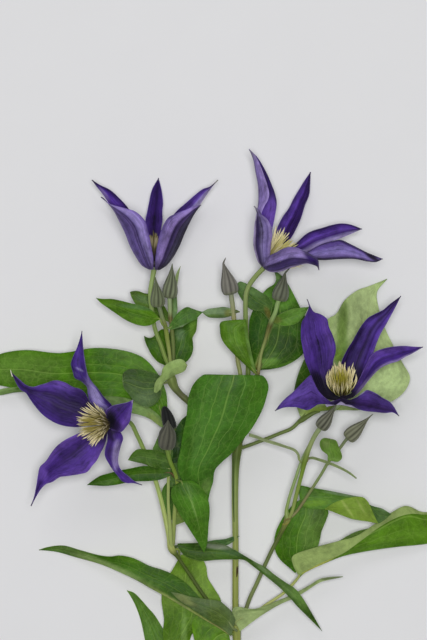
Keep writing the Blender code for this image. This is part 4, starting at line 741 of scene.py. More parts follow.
      patches=[(368, 322, 9, 5, -38, (66, 38, 138), .6), (354, 382, 17, 7, -64, (18, 9, 38), .9)]),
 "flower_c_sepal_3": dict(seen="in", tint=V1, across=[(-1, (96, 64, 172)), (-.6, V0), (-.1, V1), (.15, V3), (.45, V2), (.72, V2), (.80, LAVD), (.9, LAVG), (1, LAV)], foot=(V_SHADE, .2, 1), tip=((44, 28, 84), .08, .8),
      patches=[(368, 384, 15, 4.2, -46, LAVG, .9), (362, 378, 14, 3, -50, V3, .7)]),
 "flower_c_sepal_4": dict(seen="in", tint=V2, across=[(-1, (62, 34, 130)), (-.5, V2), (0, V3), (.5, VD), (1, V2)], foot=(V_SHADE, .3, .9), tip=((20, 12, 30), .07, .95),
      patches=[(360, 393.5, 6.5, 1.3, -32, (150, 138, 176), .8)]),
 "flower_c_sepal_5": dict(seen="in", tint=V0, across=[(-1, V1), (-.3, V0), (.4, (92, 62, 168)), (1, V0)], foot=((26, 14, 52), .16, .9), tip=((28, 16, 54), .12, .95),
      patches=[(326, 400, 6, 4, 0, (78, 50, 140), .6)]),
 # The small pale patch across the twisted lobe is painted highlight.
 "flower_d_sepal_1": dict(seen="in", tint=V1, across=[(-1, V2), (-.3, V1), (.2, V2), (1, V2)], tip=((46, 30, 84), .08, .8),
      patches=[(95, 395, 17, 5.5, 62, (158, 142, 194), 1), (86, 362, 22, 1.2, 82, LAVG, .8), (79.5, 369.5, 5, 1.1, 25, (160, 148, 196), .7), (76, 374, 4, 1.6, 40, (92, 70, 160), .6), (103.5, 393.5, 16, 3.0, 54, (38, 20, 82), 1), (104, 407, 6, 3, 30, (128, 110, 170), .8)]),
 "flower_d_sepal_2": dict(seen="in", tint=V3, across=[(-1, V2), (-.6, V2), (-.3, V3), (-.15, VD), (0, (50, 27, 110)), (.15, VD), (.35, V3), (.7, V1), (1, V0)], foot=(V_SHADE, .36, .9), tip=((30, 18, 60), .1, .9),
      patches=[(62, 412, 14, 8, 25, (40, 22, 84), .7), (84, 402, 20, 13, 12, (36, 18, 80), .85), (62, 386, 12, 3, 18, V0, .6), (40, 400, 12, 6, 30, V1, .4)]),
 "flower_d_sepal_3": dict(seen="in", tint=V2, across=[(-1, V0), (-.6, V1), (-.2, V2), (.2, V3), (.5, V2), (1, V0)], foot=(V_SHADE, .22, .9), tip=((40, 24, 84), .07, .9),
      patches=[(42, 474, 6, 8, -30, V0, .7), (82, 442, 14, 6, -30, V3, .6)]),
 # On sepals 4 and 5 of flower d the near-black patches at the centre and the dark foot of sepal 5 are painted deep
 # shade beside the stamens.
 "flower_d_sepal_4": dict(seen="in", tint=V2, across=[(-1, V1), (-.4, V2), (.3, V2), (.8, V0), (1, V1)],
      patches=[(111, 421, 6.5, 12, -8, (12, 6, 22), 1), (117, 427, 5, 6, 0, (26, 14, 52), .8), (133, 401, 1.5, 2.5, 0, (160, 150, 176), .8)]),
 "flower_d_sepal_5": dict(seen="in", tint=V2, across=[(-1, V1), (0, V2), (1, V2)], foot=((26, 12, 56), .22, .9), tip=((84, 76, 96), .12, .95),
      patches=[(112, 436.5, 6, 4, 80, (26, 14, 54), .85), (116.5, 455, 15, 4.2, 95, (146, 128, 186), 1), (109.5, 450, 10, 2.4, 100, (46, 26, 92), .9), (118, 436, 5, 3.5, 0, V2, .7), (127, 479, 12, 4, 30, V1, .7)]),
}

# where a leaf stalk leaves its stem or node (across, down, height, diameter in mm)
ROOTS = {
 "leaf_pair_1": [[(165.5, 327, 38.3, 1.3)], [(165.8, 327.5, 38.2, 1.5)]],
 "leaf_pair_2": [[(171, 321, 33.6, 1.2)], [(171.2, 321, 33.8, 1.2)]],
 "leaf_pair_3": [[(172, 371, 28.8, 1.3)], [(172, 371, 28.8, 1.3)]],
 "leaf_pair_4": [[(171.5, 379, 29.6, 1.7), (166, 382.5, 31.5, 1.4)], [(174, 374, 30.4, 1.5), (181, 367, 35.0, 1.5)]],
 "leaf_pair_5": [[(237, 448, 21.2, 2.0)], [(174, 430, 18.4, 1.5)]],
 "leaf_small_left": [[(233, 312.5, 33.0, 1.6)]],
 "leaf_pair_6": [[(257.5, 375.5, 28.6, 1.7)], [(257.5, 376.5, 28.6, 1.5)]],
 "leaf_pair_7": [[(271, 321.5, 32.8, 1.5)], [(271, 321.5, 32.8, 1.5)]],
 "leaf_drooping_upper": [[(236, 450, 21.6, 1.9)]],
 "leaf_drooping_lower": [[(176.5, 480, 31.2, 1.6)]],
 "leaf_behind": [None],
 "leaf_pale_back": [[(238.5, 449, 21.2, 2.3)]],
 "leaf_pair_8": [[(175.0, 476, 32.4, 1.4)], [(175.5, 477, 31.8, 1.5)]],
 "leaf_hanging": [[(176, 475, 30.4, 1.2)]],
 "leaf_pair_12": [[(172, 549.5, 20.4, 1.8)], [(172.5, 549, 20.6, 1.8)]],
 "leaf_pair_9": [[(236.5, 634, 11.4, 2.0)], [(237, 631, 12.4, 1.8)]],
 "leaf_node_right": [[(236.5, 626, 12.6, 1.6)]],
 "leaf_low_left": [[(238, 704, 4.8, 1.9)]],
 "leaf_low_right": [[(236.8, 634, 11.0, 1.7)]],
 "leaf_pair_10": [[(285.8, 524, 22.0, 0.9), (284, 531, 15.8, 0.9), (288, 546, 12.6, 1.0), (292, 560, 11.4, 1.2)], [(238, 622, 12.2, 1.9)]],
 "leaf_right_folded": [[(288.5, 518.5, 23.8, 1.6)], None, None],
 "leaf_heart": [[(328.5, 464.5, 32.3, 1.1)]],
 "leaf_pair_11": [[(302, 462.5, 31.6, 1.4)], [(304.5, 462, 35.0, 1.4)]],
}


GAIN = {                 # last touch to the tints of a piece: red, green, blue
 "leaf_hanging": (2, 1.9, 1.3), "leaf_pair_1": (.9, .88, .95), "leaf_pair_2": (1.25, 1.1, 1.2), "leaf_pair_3": (1.55, 1.28, 1.4),
 "leaf_pair_4": (0.94, 1.03, 0.95), "leaf_pair_7": (1.02, 1.1, 1), "leaf_pair_8": (1.05, 1, .72), "leaf_pair_9": (0.97, 0.9, 0.8),
 "leaf_pair_10": (1, 0.97, 0.98), "leaf_pair_11": (1.3, 1.12, 1.5), "leaf_pair_12": (1.2, 1.1, 1.5), "leaf_heart": (0.94, 0.76, 1),
 "leaf_low_left": (.85, .86, .7), "leaf_small_left": (.8, .88, .8), "leaf_pale_back": (1.02, 1.04, 1.12),
 "flower_c_sepal_1": (0.7, 0.62, 0.77), "flower_c_sepal_2": (1.05, 1.1, 1.12), "flower_c_sepal_3": (0.86, 0.8, 0.92),
 "flower_c_sepal_4": (1.35, 1.75, 1.18), "flower_c_sepal_5": (0.72, 0.7, 0.82), "flower_b_sepal_1": (1.08, 1.04, 1.14), "flower_b_sepal_3": (1.12,) * 3,
 "flower_b_sepal_4": (1.25, 1.3, 1.2), "flower_b_sepal_2": (1.34, 1.36, 1.28), "flower_a_sepal_3": (1.3, 1.3, 1.38),
 "flower_a_sepal_5": (1.55, 1.7, 1.35), "flower_d_sepal_1": (0.7, 0.72, 0.79), "flower_d_sepal_2": (0.84, 0.9, 0.87),
 "flower_d_sepal_3": (1.02,) * 3, "flower_d_sepal_4": (1.25,) * 3, "flower_a_sepal_2": (1.12, 1.1, 1.15),
 "stem_main": (0.84, 0.93, 0.95), "stem_left": (0.98, 1.12, 1), "stem_upper_left": (0.78, 0.92, 0.92), "stem_right": (1.14, 1.22, 1.5),
 "bud_1": (0.86, 0.95, 0.86), "bud_2": (0.92, 1.02, 0.88), "bud_3": (.92,) * 3, "bud_4": (0.7, 0.8, 0.68), "bud_6": (.88,) * 3,
 "flower_b_sepal_6": (1.06, 1, 1.1),
 "flower_b_sepal_5": (1.05, 1, 1.08),
 "flower_a_sepal_1": (0.92, 0.82, 1.05),
 "leaf_drooping_upper": (0.92, 0.92, 0.86),
 "leaf_pair_5": (1, 0.96, 1.14),
 "bud_7": (0.85, 0.93, 0.77),
 "bud_8": (1, 1.08, 1),
 "bud_5": (1, 1.06, 1.02),
 "leaf_behind": (0.94, 0.96, 0.25),
 "leaf_right_folded": (1.1, 1.05, 1.2),
 "leaf_low_right": (0.9, 0.95, 0.55),
 "flower_a_sepal_4": (0.92, 0.88, 0.95),
 "leaf_node_right": (1.03, 0.98, 1.02)}


def leaf(name, *blades, slot="leaf"):
    parts = []
    for k, (b, look) in enumerate(zip(blades, LOOKS[name])):
        seed = (sum(map(ord, name)) % 97) + k * 5
        look = dict(look, name=name)
        parts.append(blade_part(b, look, seed))
        root = ROOTS[name][k] if k < len(ROOTS[name]) else None
        if root is None:
            continue
        if "stations" in b:
            rows = np.array(b["stations"], float)
            f0, f1 = rows[0].mean(axis=0), rows[1].mean(axis=0)
        else:
            P, _, _ = blade_grid(b, 40, 9, 1.5, 0.35)
            f0, f1 = P[0, 4], P[5, 4]
        big = root[-1][3]
        pts = list(root) + [(x, y, h, big * 0.92) for x, y, h, _ in b.get("neck", ())]
        pts += [(f0[0], f0[1], f0[2] - 0.25, big * 0.72), (f1[0], f1[1], f1[2] - 0.35, big * 0.30)]
        t = look["tint"]
        tint = tuple(0.45 * c + 0.55 * d for c, d in zip(t, (146, 162, 92)))
        parts.append(stalk_of(pts, seed, look.get("stalk", tint)))
    return piece(name, parts + EXTRA.get(name, []))


SEATS = {"flower_a": (154.3, 268.8, 34.0), "flower_b": (266.0, 266.5, 35.0), "flower_c": (341.0, 399.5, 42.0),
         "flower_d": (107.0, 425.0, 51.0), "flower_d_sepal_4": (109.5, 428.0, 52.5), "flower_d_sepal_5": (111.0, 429.0, 51.5)}


def sepal(name, left, right, z, mid=None, stations=None):
    b = blade_rows(left, right, z, mid, fold=mid is not None) if stations is None else dict(stations=stations)
    look = dict(LOOKS[name], seat=SEATS.get(name, SEATS[name[:8]]), name=name)
    look.setdefault("wave", (0.30, 4.3, len(name) + ord(name[7]) + ord(name[-1])))
    return piece(name, [blade_part(b, look, ord(name[7]) + ord(name[-1]), "sepal")] + EXTRA.get(name, []))


# ---------------------------------------------------------------- stems and buds
STEM_TINTS = {
 "stem_main": [(0, (140, 158, 82)), (.30, (140, 158, 72)), (.40, (142, 158, 74)), (.52, (140, 158, 84)), (.58, (120, 144, 70)), (.62, (88, 112, 50)), (.66, (92, 114, 48)), (.74, (98, 128, 52)),
               (.86, (112, 138, 66)), (.93, (140, 160, 92)), (1, (134, 154, 84))],
 "stem_left": [(0, (68, 88, 36)), (.380, (72, 92, 38)), (.395, (140, 150, 82)), (.42, (160, 168, 96)), (.44, (168, 178, 108)), (.7, (152, 172, 98)), (.85, (126, 150, 80)), (1, (112, 134, 70))],
 "stem_right": [(0, (112, 128, 74)), (.1, (98, 112, 60)), (.2, (104, 122, 62)), (.30, (92, 110, 56)), (.42, (74, 94, 38)), (.47, (112, 122, 56)), (.50, (120, 148, 70)), (.75, (128, 150, 90)), (1, (120, 138, 84))],
 "stem_upper_left": [(0, (92, 112, 52)), (.27, (104, 120, 56)), (.335, (96, 108, 56)), (.36, (102, 96, 66)), (.39, (106, 106, 68)), (.42, (120, 134, 72)), (.55, (124, 150, 68)), (.78, (132, 156, 80)), (.92, (150, 170, 98)), (1, (136, 154, 84))],
 "bud_1": [(0, (130, 150, 84)), (.40, (140, 156, 84)), (.62, (124, 148, 66)), (.72, (115, 126, 64)), (.84, (128, 140, 96)), (1, (122, 128, 104))],
 "bud_2": [(0, (90, 98, 62)), (.5, (104, 122, 66)), (.66, (104, 108, 62)), (.74, (104, 90, 58)), (.82, (140, 152, 110)), (1, (146, 156, 124))],
 "bud_3": [(0, (120, 142, 84)), (.5, (134, 150, 90)), (.8, (146, 150, 92)), (1, (140, 148, 118))],
 "bud_4": [(0, (84, 108, 52)), (.42, (86, 100, 50)), (.49, (124, 102, 66)), (.55, (160, 164, 104)), (.68, (150, 164, 98)), (.75, (128, 132, 74)), (.82, (108, 98, 58)), (.86, (140, 160, 98)), (.92, (160, 186, 120)), (1, (164, 186, 126))],
 "bud_5": [(0, (136, 156, 84)), (.5, (107, 143, 51)), (.62, (99, 129, 49)), (.8, (140, 156, 98)), (1, (138, 150, 108))],
 "bud_6": [(0, (140, 146, 90)), (.2, (128, 130, 84)), (.5, (126, 152, 90)), (.8, (122, 142, 88)), (1, (110, 122, 88))],
 "bud_7": [(0, (150, 168, 98)), (.4, (148, 166, 94)), (.62, (134, 162, 74)), (.8, (114, 152, 58)), (1, (114, 144, 72))],
 "bud_8": [(0, (150, 168, 98)), (.6, (144, 162, 92)), (1, (110, 124, 84))],
}
# first points inside the stem that carries it (across, down, height, diameter in mm)
INTO = {
 "stem_left": [(237, 632, 11.4, 3.2), (233, 628, 12.6, 2.5)], "stem_right": [(237, 632, 9.4, 2.6)],
 "stem_upper_left": [(237.5, 447, 21.4, 3.6)],
 "bud_1": [(172.3, 376, 29.2, 2.0)], "bud_2": [(172.8, 376, 29.0, 2.4)], "bud_3": [(237.8, 447, 21.6, 2.0), (237, 441, 24.6, 2.0)],
 "bud_4": [(239, 447, 21.6, 2.2), (243, 438, 24.0, 2.0)], "bud_5": [(288, 519.5, 23.9, 2.4)], "bud_6": [(288, 519.5, 23.7, 2.0)],
 "bud_7": [(172, 549.5, 20.4, 2.6)], "bud_8": [(172, 549, 20.8, 2.2)],
}
BUD_SHAPE = ((0.0, 0.30), (0.012, 0.62), (0.045, 0.85), (0.11, 0.98), (0.20, 1.02), (0.32, 0.96), (0.45, 0.80),
             (0.58, 0.59), (0.70, 0.39), (0.81, 0.23), (0.91, 0.12), (0.97, 0.07), (1.0, 0.03))


def along(stops, f):
    at = [a for a, _ in stops]
    cs = np.array([lin(c) for _, c in stops])
    return np.stack([np.interp(f, at, cs[:, k]) for k in range(3)], -1)


THIN = {      # stalk width against the solid's, at shares of the length
 "stem_main": [(0, 1), (.97, 1.02), (1, .95)], "stem_left": [(0, .88), (.35, .88), (.39, 1), (.45, 1.1), (.75, 1.12), (.95, 1), (1, .9)],
 "stem_right": [(0, 1), (1, 1.05)], "stem_upper_left": [(0, 1), (.25, 1.1), (.42, 1.12), (.5, 1.0), (1, 1.02)],
 "bud_1": [(0, .92), (.7, 1), (1, 1)], "bud_2": [(0, 1), (1, 1.1)], "bud_3": [(0, 1), (1, 1.08)], "bud_4": [(0, .80), (.45, .85), (.55, .70), (.74, .72), (.82, .95), (1, 1)],
 "bud_5": [(0, 1), (1, 1)], "bud_6": [(0, .8), (1, .8)], "bud_7": [(0, .95), (1, 1)], "bud_8": [(0, 1), (1, 1)],
}
TOPS = {"stem_main": [(266, 265, 34.6, 3.0)], "stem_upper_left": [(154.2, 267.5, 34.0, 3.0)], "stem_right": [(341, 400.5, 40.5, 3.0)],
        "stem_left": [(112.5, 424.3, 51.5, 3.0)]}


def stalk_pipe(name, pts, seed):
    pts = list(INTO.get(name, [])) + list(pts) + TOPS.get(name, [])
    L = np.linalg.norm(np.diff(place(np.array(pts)[:, :3]), axis=0), axis=1).sum() * 1000
    p = spline(pts, int(np.clip(L * 0.9, 24, 320)))
    f = np.linspace(0, 1, len(p))
    p[:, 3] *= np.interp(f, *zip(*THIN[name]))
    sides = 24
    th = np.linspace(0, 2 * np.pi, sides, endpoint=False)
    rgb = (along(STEM_TINTS[name], f) * np.array(GAIN.get(name, (1, 1, 1))))[:, None, :] * (1 + 0.10 * np.cos(6 * th))[None, :, None]
    return pipe(place(p[:, :3]), p[:, 3] * 0.0005, STEM, rgb, sides=sides, ribs=(6, 0.045), seed=seed, turn=0.8)


def tube(name, pts):
    return piece(name, [stalk_pipe(name, pts, len(name))] + EXTRA.get(name, []))


BUD_LOOK = {     # shade of the ribs and of the grooves
 "bud_1": ((126, 130, 104), (78, 80, 62)), "bud_2": ((130, 132, 112), (76, 76, 66)), "bud_3": ((140, 138, 128), (84, 82, 76)),
 "bud_4": ((132, 130, 118), (80, 78, 70)), "bud_5": ((120, 118, 104), (52, 52, 44)), "bud_6": ((144, 146, 122), (62, 64, 50)),
 "bud_7": ((108, 104, 98), (70, 66, 66)), "bud_8": ((40, 40, 40), (22, 22, 24)),
}


BLUNT = ((0.0, 0.30), (0.012, 0.60), (0.045, 0.82), (0.11, 0.95), (0.22, 1.02), (0.38, 1.03), (0.52, 0.97),
         (0.63, 0.80), (0.74, 0.54), (0.84, 0.33), (0.92, 0.18), (0.97, 0.10), (1.0, 0.04))


FAT = ((0.0, 0.30), (0.04, 0.75), (0.14, 0.96), (0.36, 1.0), (0.58, 0.90), (0.75, 0.72), (0.88, 0.52), (0.96, 0.34), (1.0, 0.10))


def bud(name, stalk, base, tip, width, hook=None, shape=None):
    """A pointed bud of four ribbed sepals that meet edge to edge, on its stalk."""
    seed = ord(name[-1])
    a, b = np.array(base, float), np.array(tip, float)
    body = stalk_pipe(name, list(stalk) + [(*(a + (b - a) * 0.03), stalk[-1][3] * 0.95)], seed)
    n, sides = 44, 48
    f = np.linspace(0, 1, n) ** 1.15
    prof = spline(shape or BUD_SHAPE, 300)
    r = np.interp(f, prof[:, 0], prof[:, 1]) * width / 2
    P = a + (b - a) * f[:, None]
    if hook:
        bend = np.array(hook, float) - b
        P = P + bend[None, :] * (soft(f, 0.88, 1.0) ** 2)[:, None]
    th = np.linspace(0, 2 * np.pi, sides, endpoint=False)

    rng = np.random.default_rng(ord(name[-1]))
    amp = rng.uniform(0.3, 1.0, 10)
    rib = np.interp(th, np.linspace(0, 2 * np.pi, 11), np.append(amp, amp[0])) * np.cos(10 * th)

    def groove(t, q):
        env = soft(q, 0.0, 0.15) * (1 - 0.4 * soft(q, 0.8, 1.0))
        seam = np.abs(np.sin(2 * t)) ** 0.35
        return 1 - 0.055 * env * (1 - seam) + 0.024 * env * rib[None, :]
    hi, lo = BUD_LOOK[name]
    m = np.clip(0.58 + 0.55 * rib, 0, 1)
    seam = 1 - np.abs(np.sin(2 * th)) ** 0.4
    rgb = lin(hi)[None, :] * m[:, None] + lin(lo)[None, :] * (1 - m)[:, None]
    rgb = rgb * (1 - 0.5 * seam)[:, None] * np.array(GAIN.get(name, (1, 1, 1)))
    shade = 0.86 + 0.22 * np.exp(-((f - 0.3) / 0.35) ** 2)
    rgb = rgb[None, :, :] * shade[:, None, None]
    foot = lin((112, 122, 84))
    w = (1 - soft(f, 0.0, 0.14))[:, None, None] * 0.55
    rgb = rgb * (1 - w) + foot * w
    cone = pipe(place(P), np.maximum(r, 0.12) * 0.001, BUD, rgb, sides=sides, seed=seed, turn=0.5, groove=groove)
    return piece(name, [cone, body] + EXTRA.get(name, []))


# ---------------------------------------------------------------- stamens
def stamens(name, foot, head, width):
    """A tuft of flat, pointed stamens in whorls."""
    look = TUFTS[name]
    foot, head = look.get("at", foot), look.get("to", head)
    rng = np.random.default_rng(look.get("seed", 1))
    a, b = place(np.array(foot, float)), place(np.array(head, float))
    axis = b - a
    L = np.linalg.norm(axis)
    w = axis / L
    u = np.cross(w, [0.0, 0.0, 1.0])
    u = u / np.linalg.norm(u) if np.linalg.norm(u) > 1e-6 else np.array([1.0, 0.0, 0.0])
    v = np.cross(w, u)
    parts = []
    n, spread = look["count"], look["spread"] * 0.001
    lean = np.array(look.get("lean", (0, 0, 0)), float) * 0.001
    for i in range(n):
        r = math.sqrt((i + 0.5) / n)
        phi = i * 2.39996 + rng.normal(0, 0.10)
        out = math.cos(phi) * u + math.sin(phi) * v
        Li = L * (1.0 - look.get("fall", 0.16) * r + rng.normal(0, 0.045))
        end = spread * r * (1 + rng.normal(0, 0.07))
        curl = look.get("curl", 0.10) * (0.4 + r) * (1 + rng.normal(0, 0.35))
        side = np.cross(w, out) * rng.normal(0, 0.0010)
        q = np.linspace(0, 1, 9)
        rad = look.get("base", 0.9) * 0.001 * r + end * (q ** 0.75 + curl * q ** 4)
        ax = Li * (q - 0.10 * r * q ** 2.5 - 0.08 * curl * q ** 5)
        path = a + w * ax[:, None] + out * rad[:, None] + side * (q ** 2)[:, None] + lean * (q ** 2)[:, None] * r
        path[:, 2] = np.maximum(path[:, 2], 0.001)
        half = 0.00042 * look.get("thin", 1) * (1 + rng.normal(0, 0.08))
        rr = np.interp(q, [0, .5, .62, .86, .95, 1], [half * .72, half * .78, half * 1.1, half * 1.05, half * .6, half * .16])
        white, cream = np.array(lin(look["pale"])), np.array(lin(look["rich"]))
        # Filaments darken towards the foot: partly their own darker base, partly painted shade deep in the flower.
        base_hue_and_shade = lin(look["base_hue_and_shade"])
        k = soft(r, 0.25, 0.85)
        cols = []
        for x in q:
            top = cream * (1 - k) + (cream * 0.75 * (1 - soft(x, .45, .75)) + white * soft(x, .45, .75)) * k
            cols.append(base_hue_and_shade * (1 - soft(x, 0.10, 0.60)) + top * soft(x, 0.10, 0.60))
        cols = np.array(cols)
        cols *= (1 + rng.normal(0, 0.08))
        cols[-1] = cols[-1] * 0.75
        parts.append(pipe(path, rr, STAMEN, cols, sides=6, flat=0.55, seed=i))
    m, sides = 9, 16                    # the seat of the flower under the tuft
    q = np.linspace(0, 1, m)
    rr = np.sqrt(np.maximum(1 - (2 * q - 1) ** 2, 0.02)) * 0.0022
    seat = a + w * ((q - 0.75) * 0.0036)[:, None]
    if look.get("seat", True):
        parts.append(pipe(seat, rr, STEM, np.array([lin((62, 56, 58))] * m), sides=sides, seed=3))
    return piece(name, parts)


TUFTS = {
 # The foot colour of the filaments is partly painted shade deep in the flower.
 "flower_a_stamens": dict(count=22, spread=1.45, fall=.14, curl=.05, thin=.8, to=(153.8, 230, 36.0), pale=(150, 140, 108), rich=(84, 76, 44), base_hue_and_shade=(26, 14, 44), seed=4),
 "flower_b_stamens": dict(count=100, spread=12.2, fall=.20, curl=.10, thin=.70, base=1.6, to=(294.5, 242.2, 43.5), pale=(230, 220, 176), rich=(196, 188, 118), base_hue_and_shade=(146, 134, 84), seed=7),
 "flower_c_stamens": dict(count=110, spread=9.3, fall=.12, curl=-.30, thin=.78, base=2.0, to=(340.5, 376.0, 59.0), at=(341.0, 392, 43.0), lean=(0, 3.4, 0), pale=(236, 224, 180), rich=(176, 170, 66), base_hue_and_shade=(70, 58, 44), seed=11),
 "flower_d_stamens": dict(count=124, spread=8.3, fall=.30, curl=.16, thin=.66, base=3.4, to=(82.0, 425.0, 66.0), at=(106.5, 423.5, 53.5), pale=(222, 210, 168), rich=(158, 146, 76), base_hue_and_shade=(88, 78, 54), seed=5, seat=False),
}
# small bits that hang on to a larger piece
EXTRA = {
 "leaf_pale_back": [stalk_of([(298.5, 422.2, 16.2, 2.6), (303, 419.6, 16.8, 2.8), (308.5, 416, 17.4, 2.6), (314, 413.2, 17.6, 1.9), (320, 411.6, 17.4, 0.9)], 22, (84, 110, 50))],
 "leaf_pair_10": [blade_part(blade_rows([(339, 541.5), (349, 542), (361, 538), (371, 532), (378, 525)], [(339, 541.2), (347, 536), (357, 531.2), (367, 528.6), (378, 525)],
                  ([17.6, 18, 18, 17.2, 16],) * 3), dict(tint=(66, 104, 30), wave=(0, 1, 0)), 17)],
 "stem_main": [stalk_of([(236.9, 564.5, 16.4, .6), (237.0, 570, 16.2, 1.4), (236.6, 577, 16.0, .7)], 18, (66, 50, 30)),
               # A thin dark strand along the left edge of the main stem: painted shade on that side.
               stalk_of([(234.2, 452, 23.2, .8), (234.0, 460, 22.3, 1.5), (233.9, 470, 21.3, 1.6), (233.8, 490, 20.3, 1.6), (233.9, 508, 19.5, 1.2), (234.2, 522, 19.1, .5)], 21, (64, 92, 36))],
 "flower_d_sepal_2": [stalk_of([(12.6, 376.5, 48.1, 0.9), (11.4, 373.2, 48.0, 0.7), (10.4, 369.8, 47.8, 0.3)], 19, (206, 206, 186))],
 "flower_c_sepal_5": [blade_part(blade_rows([(325, 405), (332, 401), (341, 399), (350, 401), (358, 406)], [(327, 406.5), (334, 405.4), (341, 405), (349, 406.5), (358, 409)],
                      ([41.2, 41.6, 41.4, 41.6, 41.2],) * 3), dict(seen="out", tint=(158, 148, 180), wave=(0, 1, 0)), 16, "sepal")],
 "leaf_pair_8": [blade_part(blade_rows([(154, 456), (152.5, 450), (155, 443.5), (157.8, 437), (160, 431)], [(172, 460), (173, 453), (171, 445), (167, 437), (160, 431)],
                 ([31.5, 32, 32.5, 33, 33],) * 3), dict(tint=(64, 106, 38), wave=(0, 1, 0)), 9)],
 "leaf_pair_12": [blade_part(blade_rows([(207, 541.5), (215, 540), (225, 539), (233, 536.5), (239.5, 536)], [(207, 545), (216, 546), (226, 545.5), (234, 541), (239.5, 536)],
                  ([18.5, 18.3, 18.2, 18, 18],) * 3), dict(tint=(52, 92, 40), wave=(0, 1, 0)), 12)],
 "bud_3": [stalk_of([(232.6, 312, 32.9, 2.6), (236.0, 311.6, 33.0, 2.2), (239.9, 311.8, 33.2, 0.5)], 3, (84, 104, 56))],
 "leaf_drooping_lower": [blade_part(blade_rows([(174.5, 500), (175.2, 510), (175.4, 518), (176, 525)], [(186, 500), (188, 512), (186.5, 519), (183.5, 522.3)],
                         ([26, 25.5, 25, 25],) * 3), dict(tint=(86, 120, 42), wave=(0, 1, 0)), 14),
                         blade_part(blade_rows([(169.8, 487), (170.2, 480), (170.2, 472), (171, 463)], [(182, 488), (181.4, 480), (179.6, 472), (177.4, 463)],
                         ([25, 25, 25, 25],) * 3), dict(tint=(58, 102, 30), wave=(0, 1, 0)), 23)],
 "bud_5": [stalk_of([(303.2, 463.5, 37.2, 1.6), (306.5, 461.5, 37.8, 1.5), (308.5, 457.5, 38.4, 1.0)], 5, (120, 104, 70))],
 "stem_right": [stalk_of([(284.5, 521, 24.6, 1.5), (288.5, 518.6, 25.6, 1.5), (291.5, 516.6, 25.2, 1.2)], 6, (108, 112, 58)),
                stalk_of([(283.0, 524.5, 23.4, 1.2), (287.0, 523.6, 25.0, 1.1), (290.0, 520.0, 24.6, 0.9)], 8, (128, 138, 62))],
}


# ---------------------------------------------------------------- stems
tube("stem_main", [
    (239, 785, 2.25, 4.4), (238, 740, 3.2, 4.3), (237.5, 700, 5.0, 4.2), (237.5, 665, 8.0, 4.1),
    (237, 643, 10.2, 4.4), (236.5, 631, 11.2, 5.0), (236, 619, 12.0, 4.1), (235.5, 607, 12.8, 3.7),
    (235.5, 570, 15.0, 3.6), (235.5, 540, 16.5, 3.6), (235, 500, 18.5, 3.8), (235.5, 470, 20.0, 4.3),
    (236.5, 455, 21.0, 5.4), (237.5, 447, 21.5, 5.8), (240, 432, 22.5, 3.5), (243, 410, 23.5, 3.2),
    (248, 375, 25.0, 2.9), (247, 345, 26.0, 2.8), (245.7, 320, 27.0, 2.8), (245.5, 303, 28.5, 2.7),
    (246.5, 292, 30.0, 2.7), (250, 284, 31.5, 2.7), (256, 276, 33.0, 2.7), (263, 268.5, 34.5, 2.9)])
tube("stem_left", [
    (228, 623, 13.5, 2.3), (222, 616, 14.0, 2.3), (205, 597, 16.0, 2.3), (190, 575, 18.0, 2.3),
    (177, 556, 20.0, 2.5), (171.8, 549, 20.5, 4.2), (169.6, 538, 21.0, 3.1), (165.8, 520, 22.0, 2.6),
    (161.1, 500, 24.0, 2.4), (156, 482, 26.0, 2.4), (150, 465, 28.0, 2.4), (143.5, 449, 31.5, 2.4),
    (137, 435, 36.0, 2.4), (131.5, 424, 41.0, 2.4), (127, 421, 44.5, 2.5), (119, 423, 48.5, 2.9)])
tube("stem_right", [
    (241.5, 621, 10.2, 2.2), (246, 609, 12.0, 2.3), (250, 598, 13.5, 2.3), (257, 583, 15.0, 2.3),
    (265, 565, 17.0, 2.3), (273, 548, 19.0, 2.3), (280, 535, 21.0, 2.4), (285, 525, 23.0, 2.8),
    (287.5, 519, 24.0, 3.8), (286.5, 511, 24.5, 2.2), (288, 503, 25.5, 1.9), (291.4, 491, 27.0, 1.9),
    (295.8, 478, 28.5, 1.9), (299.4, 467, 30.0, 1.9), (304, 456, 31.0, 2.0), (311, 443, 32.0, 2.0),
    (320, 428, 33.5, 2.1), (329, 415, 35.5, 2.2), (336, 407, 37.0, 2.4), (340, 403, 38.2, 2.8)])
tube("stem_upper_left", [
    (231, 439, 20.2, 3.4), (215, 428, 22.0, 3.6), (200, 412, 24.0, 3.7), (186.6, 399.8, 26.0, 3.4),
    (178.4, 392.2, 27.0, 3.4), (174.0, 386, 28.0, 4.4), (171.4, 379.5, 29.0, 5.6), (169, 367, 30.0, 2.8),
    (165, 357, 31.0, 2.5), (161, 345, 32.0, 2.5), (157, 335, 32.6, 2.5), (154, 325, 33.0, 2.5),
    (152, 310, 33.5, 2.6), (150.4, 300, 34.0, 2.6), (150.4, 291, 34.0, 2.6), (152, 281, 34.0, 2.6),
    (153.7, 271.5, 34.0, 2.9)])

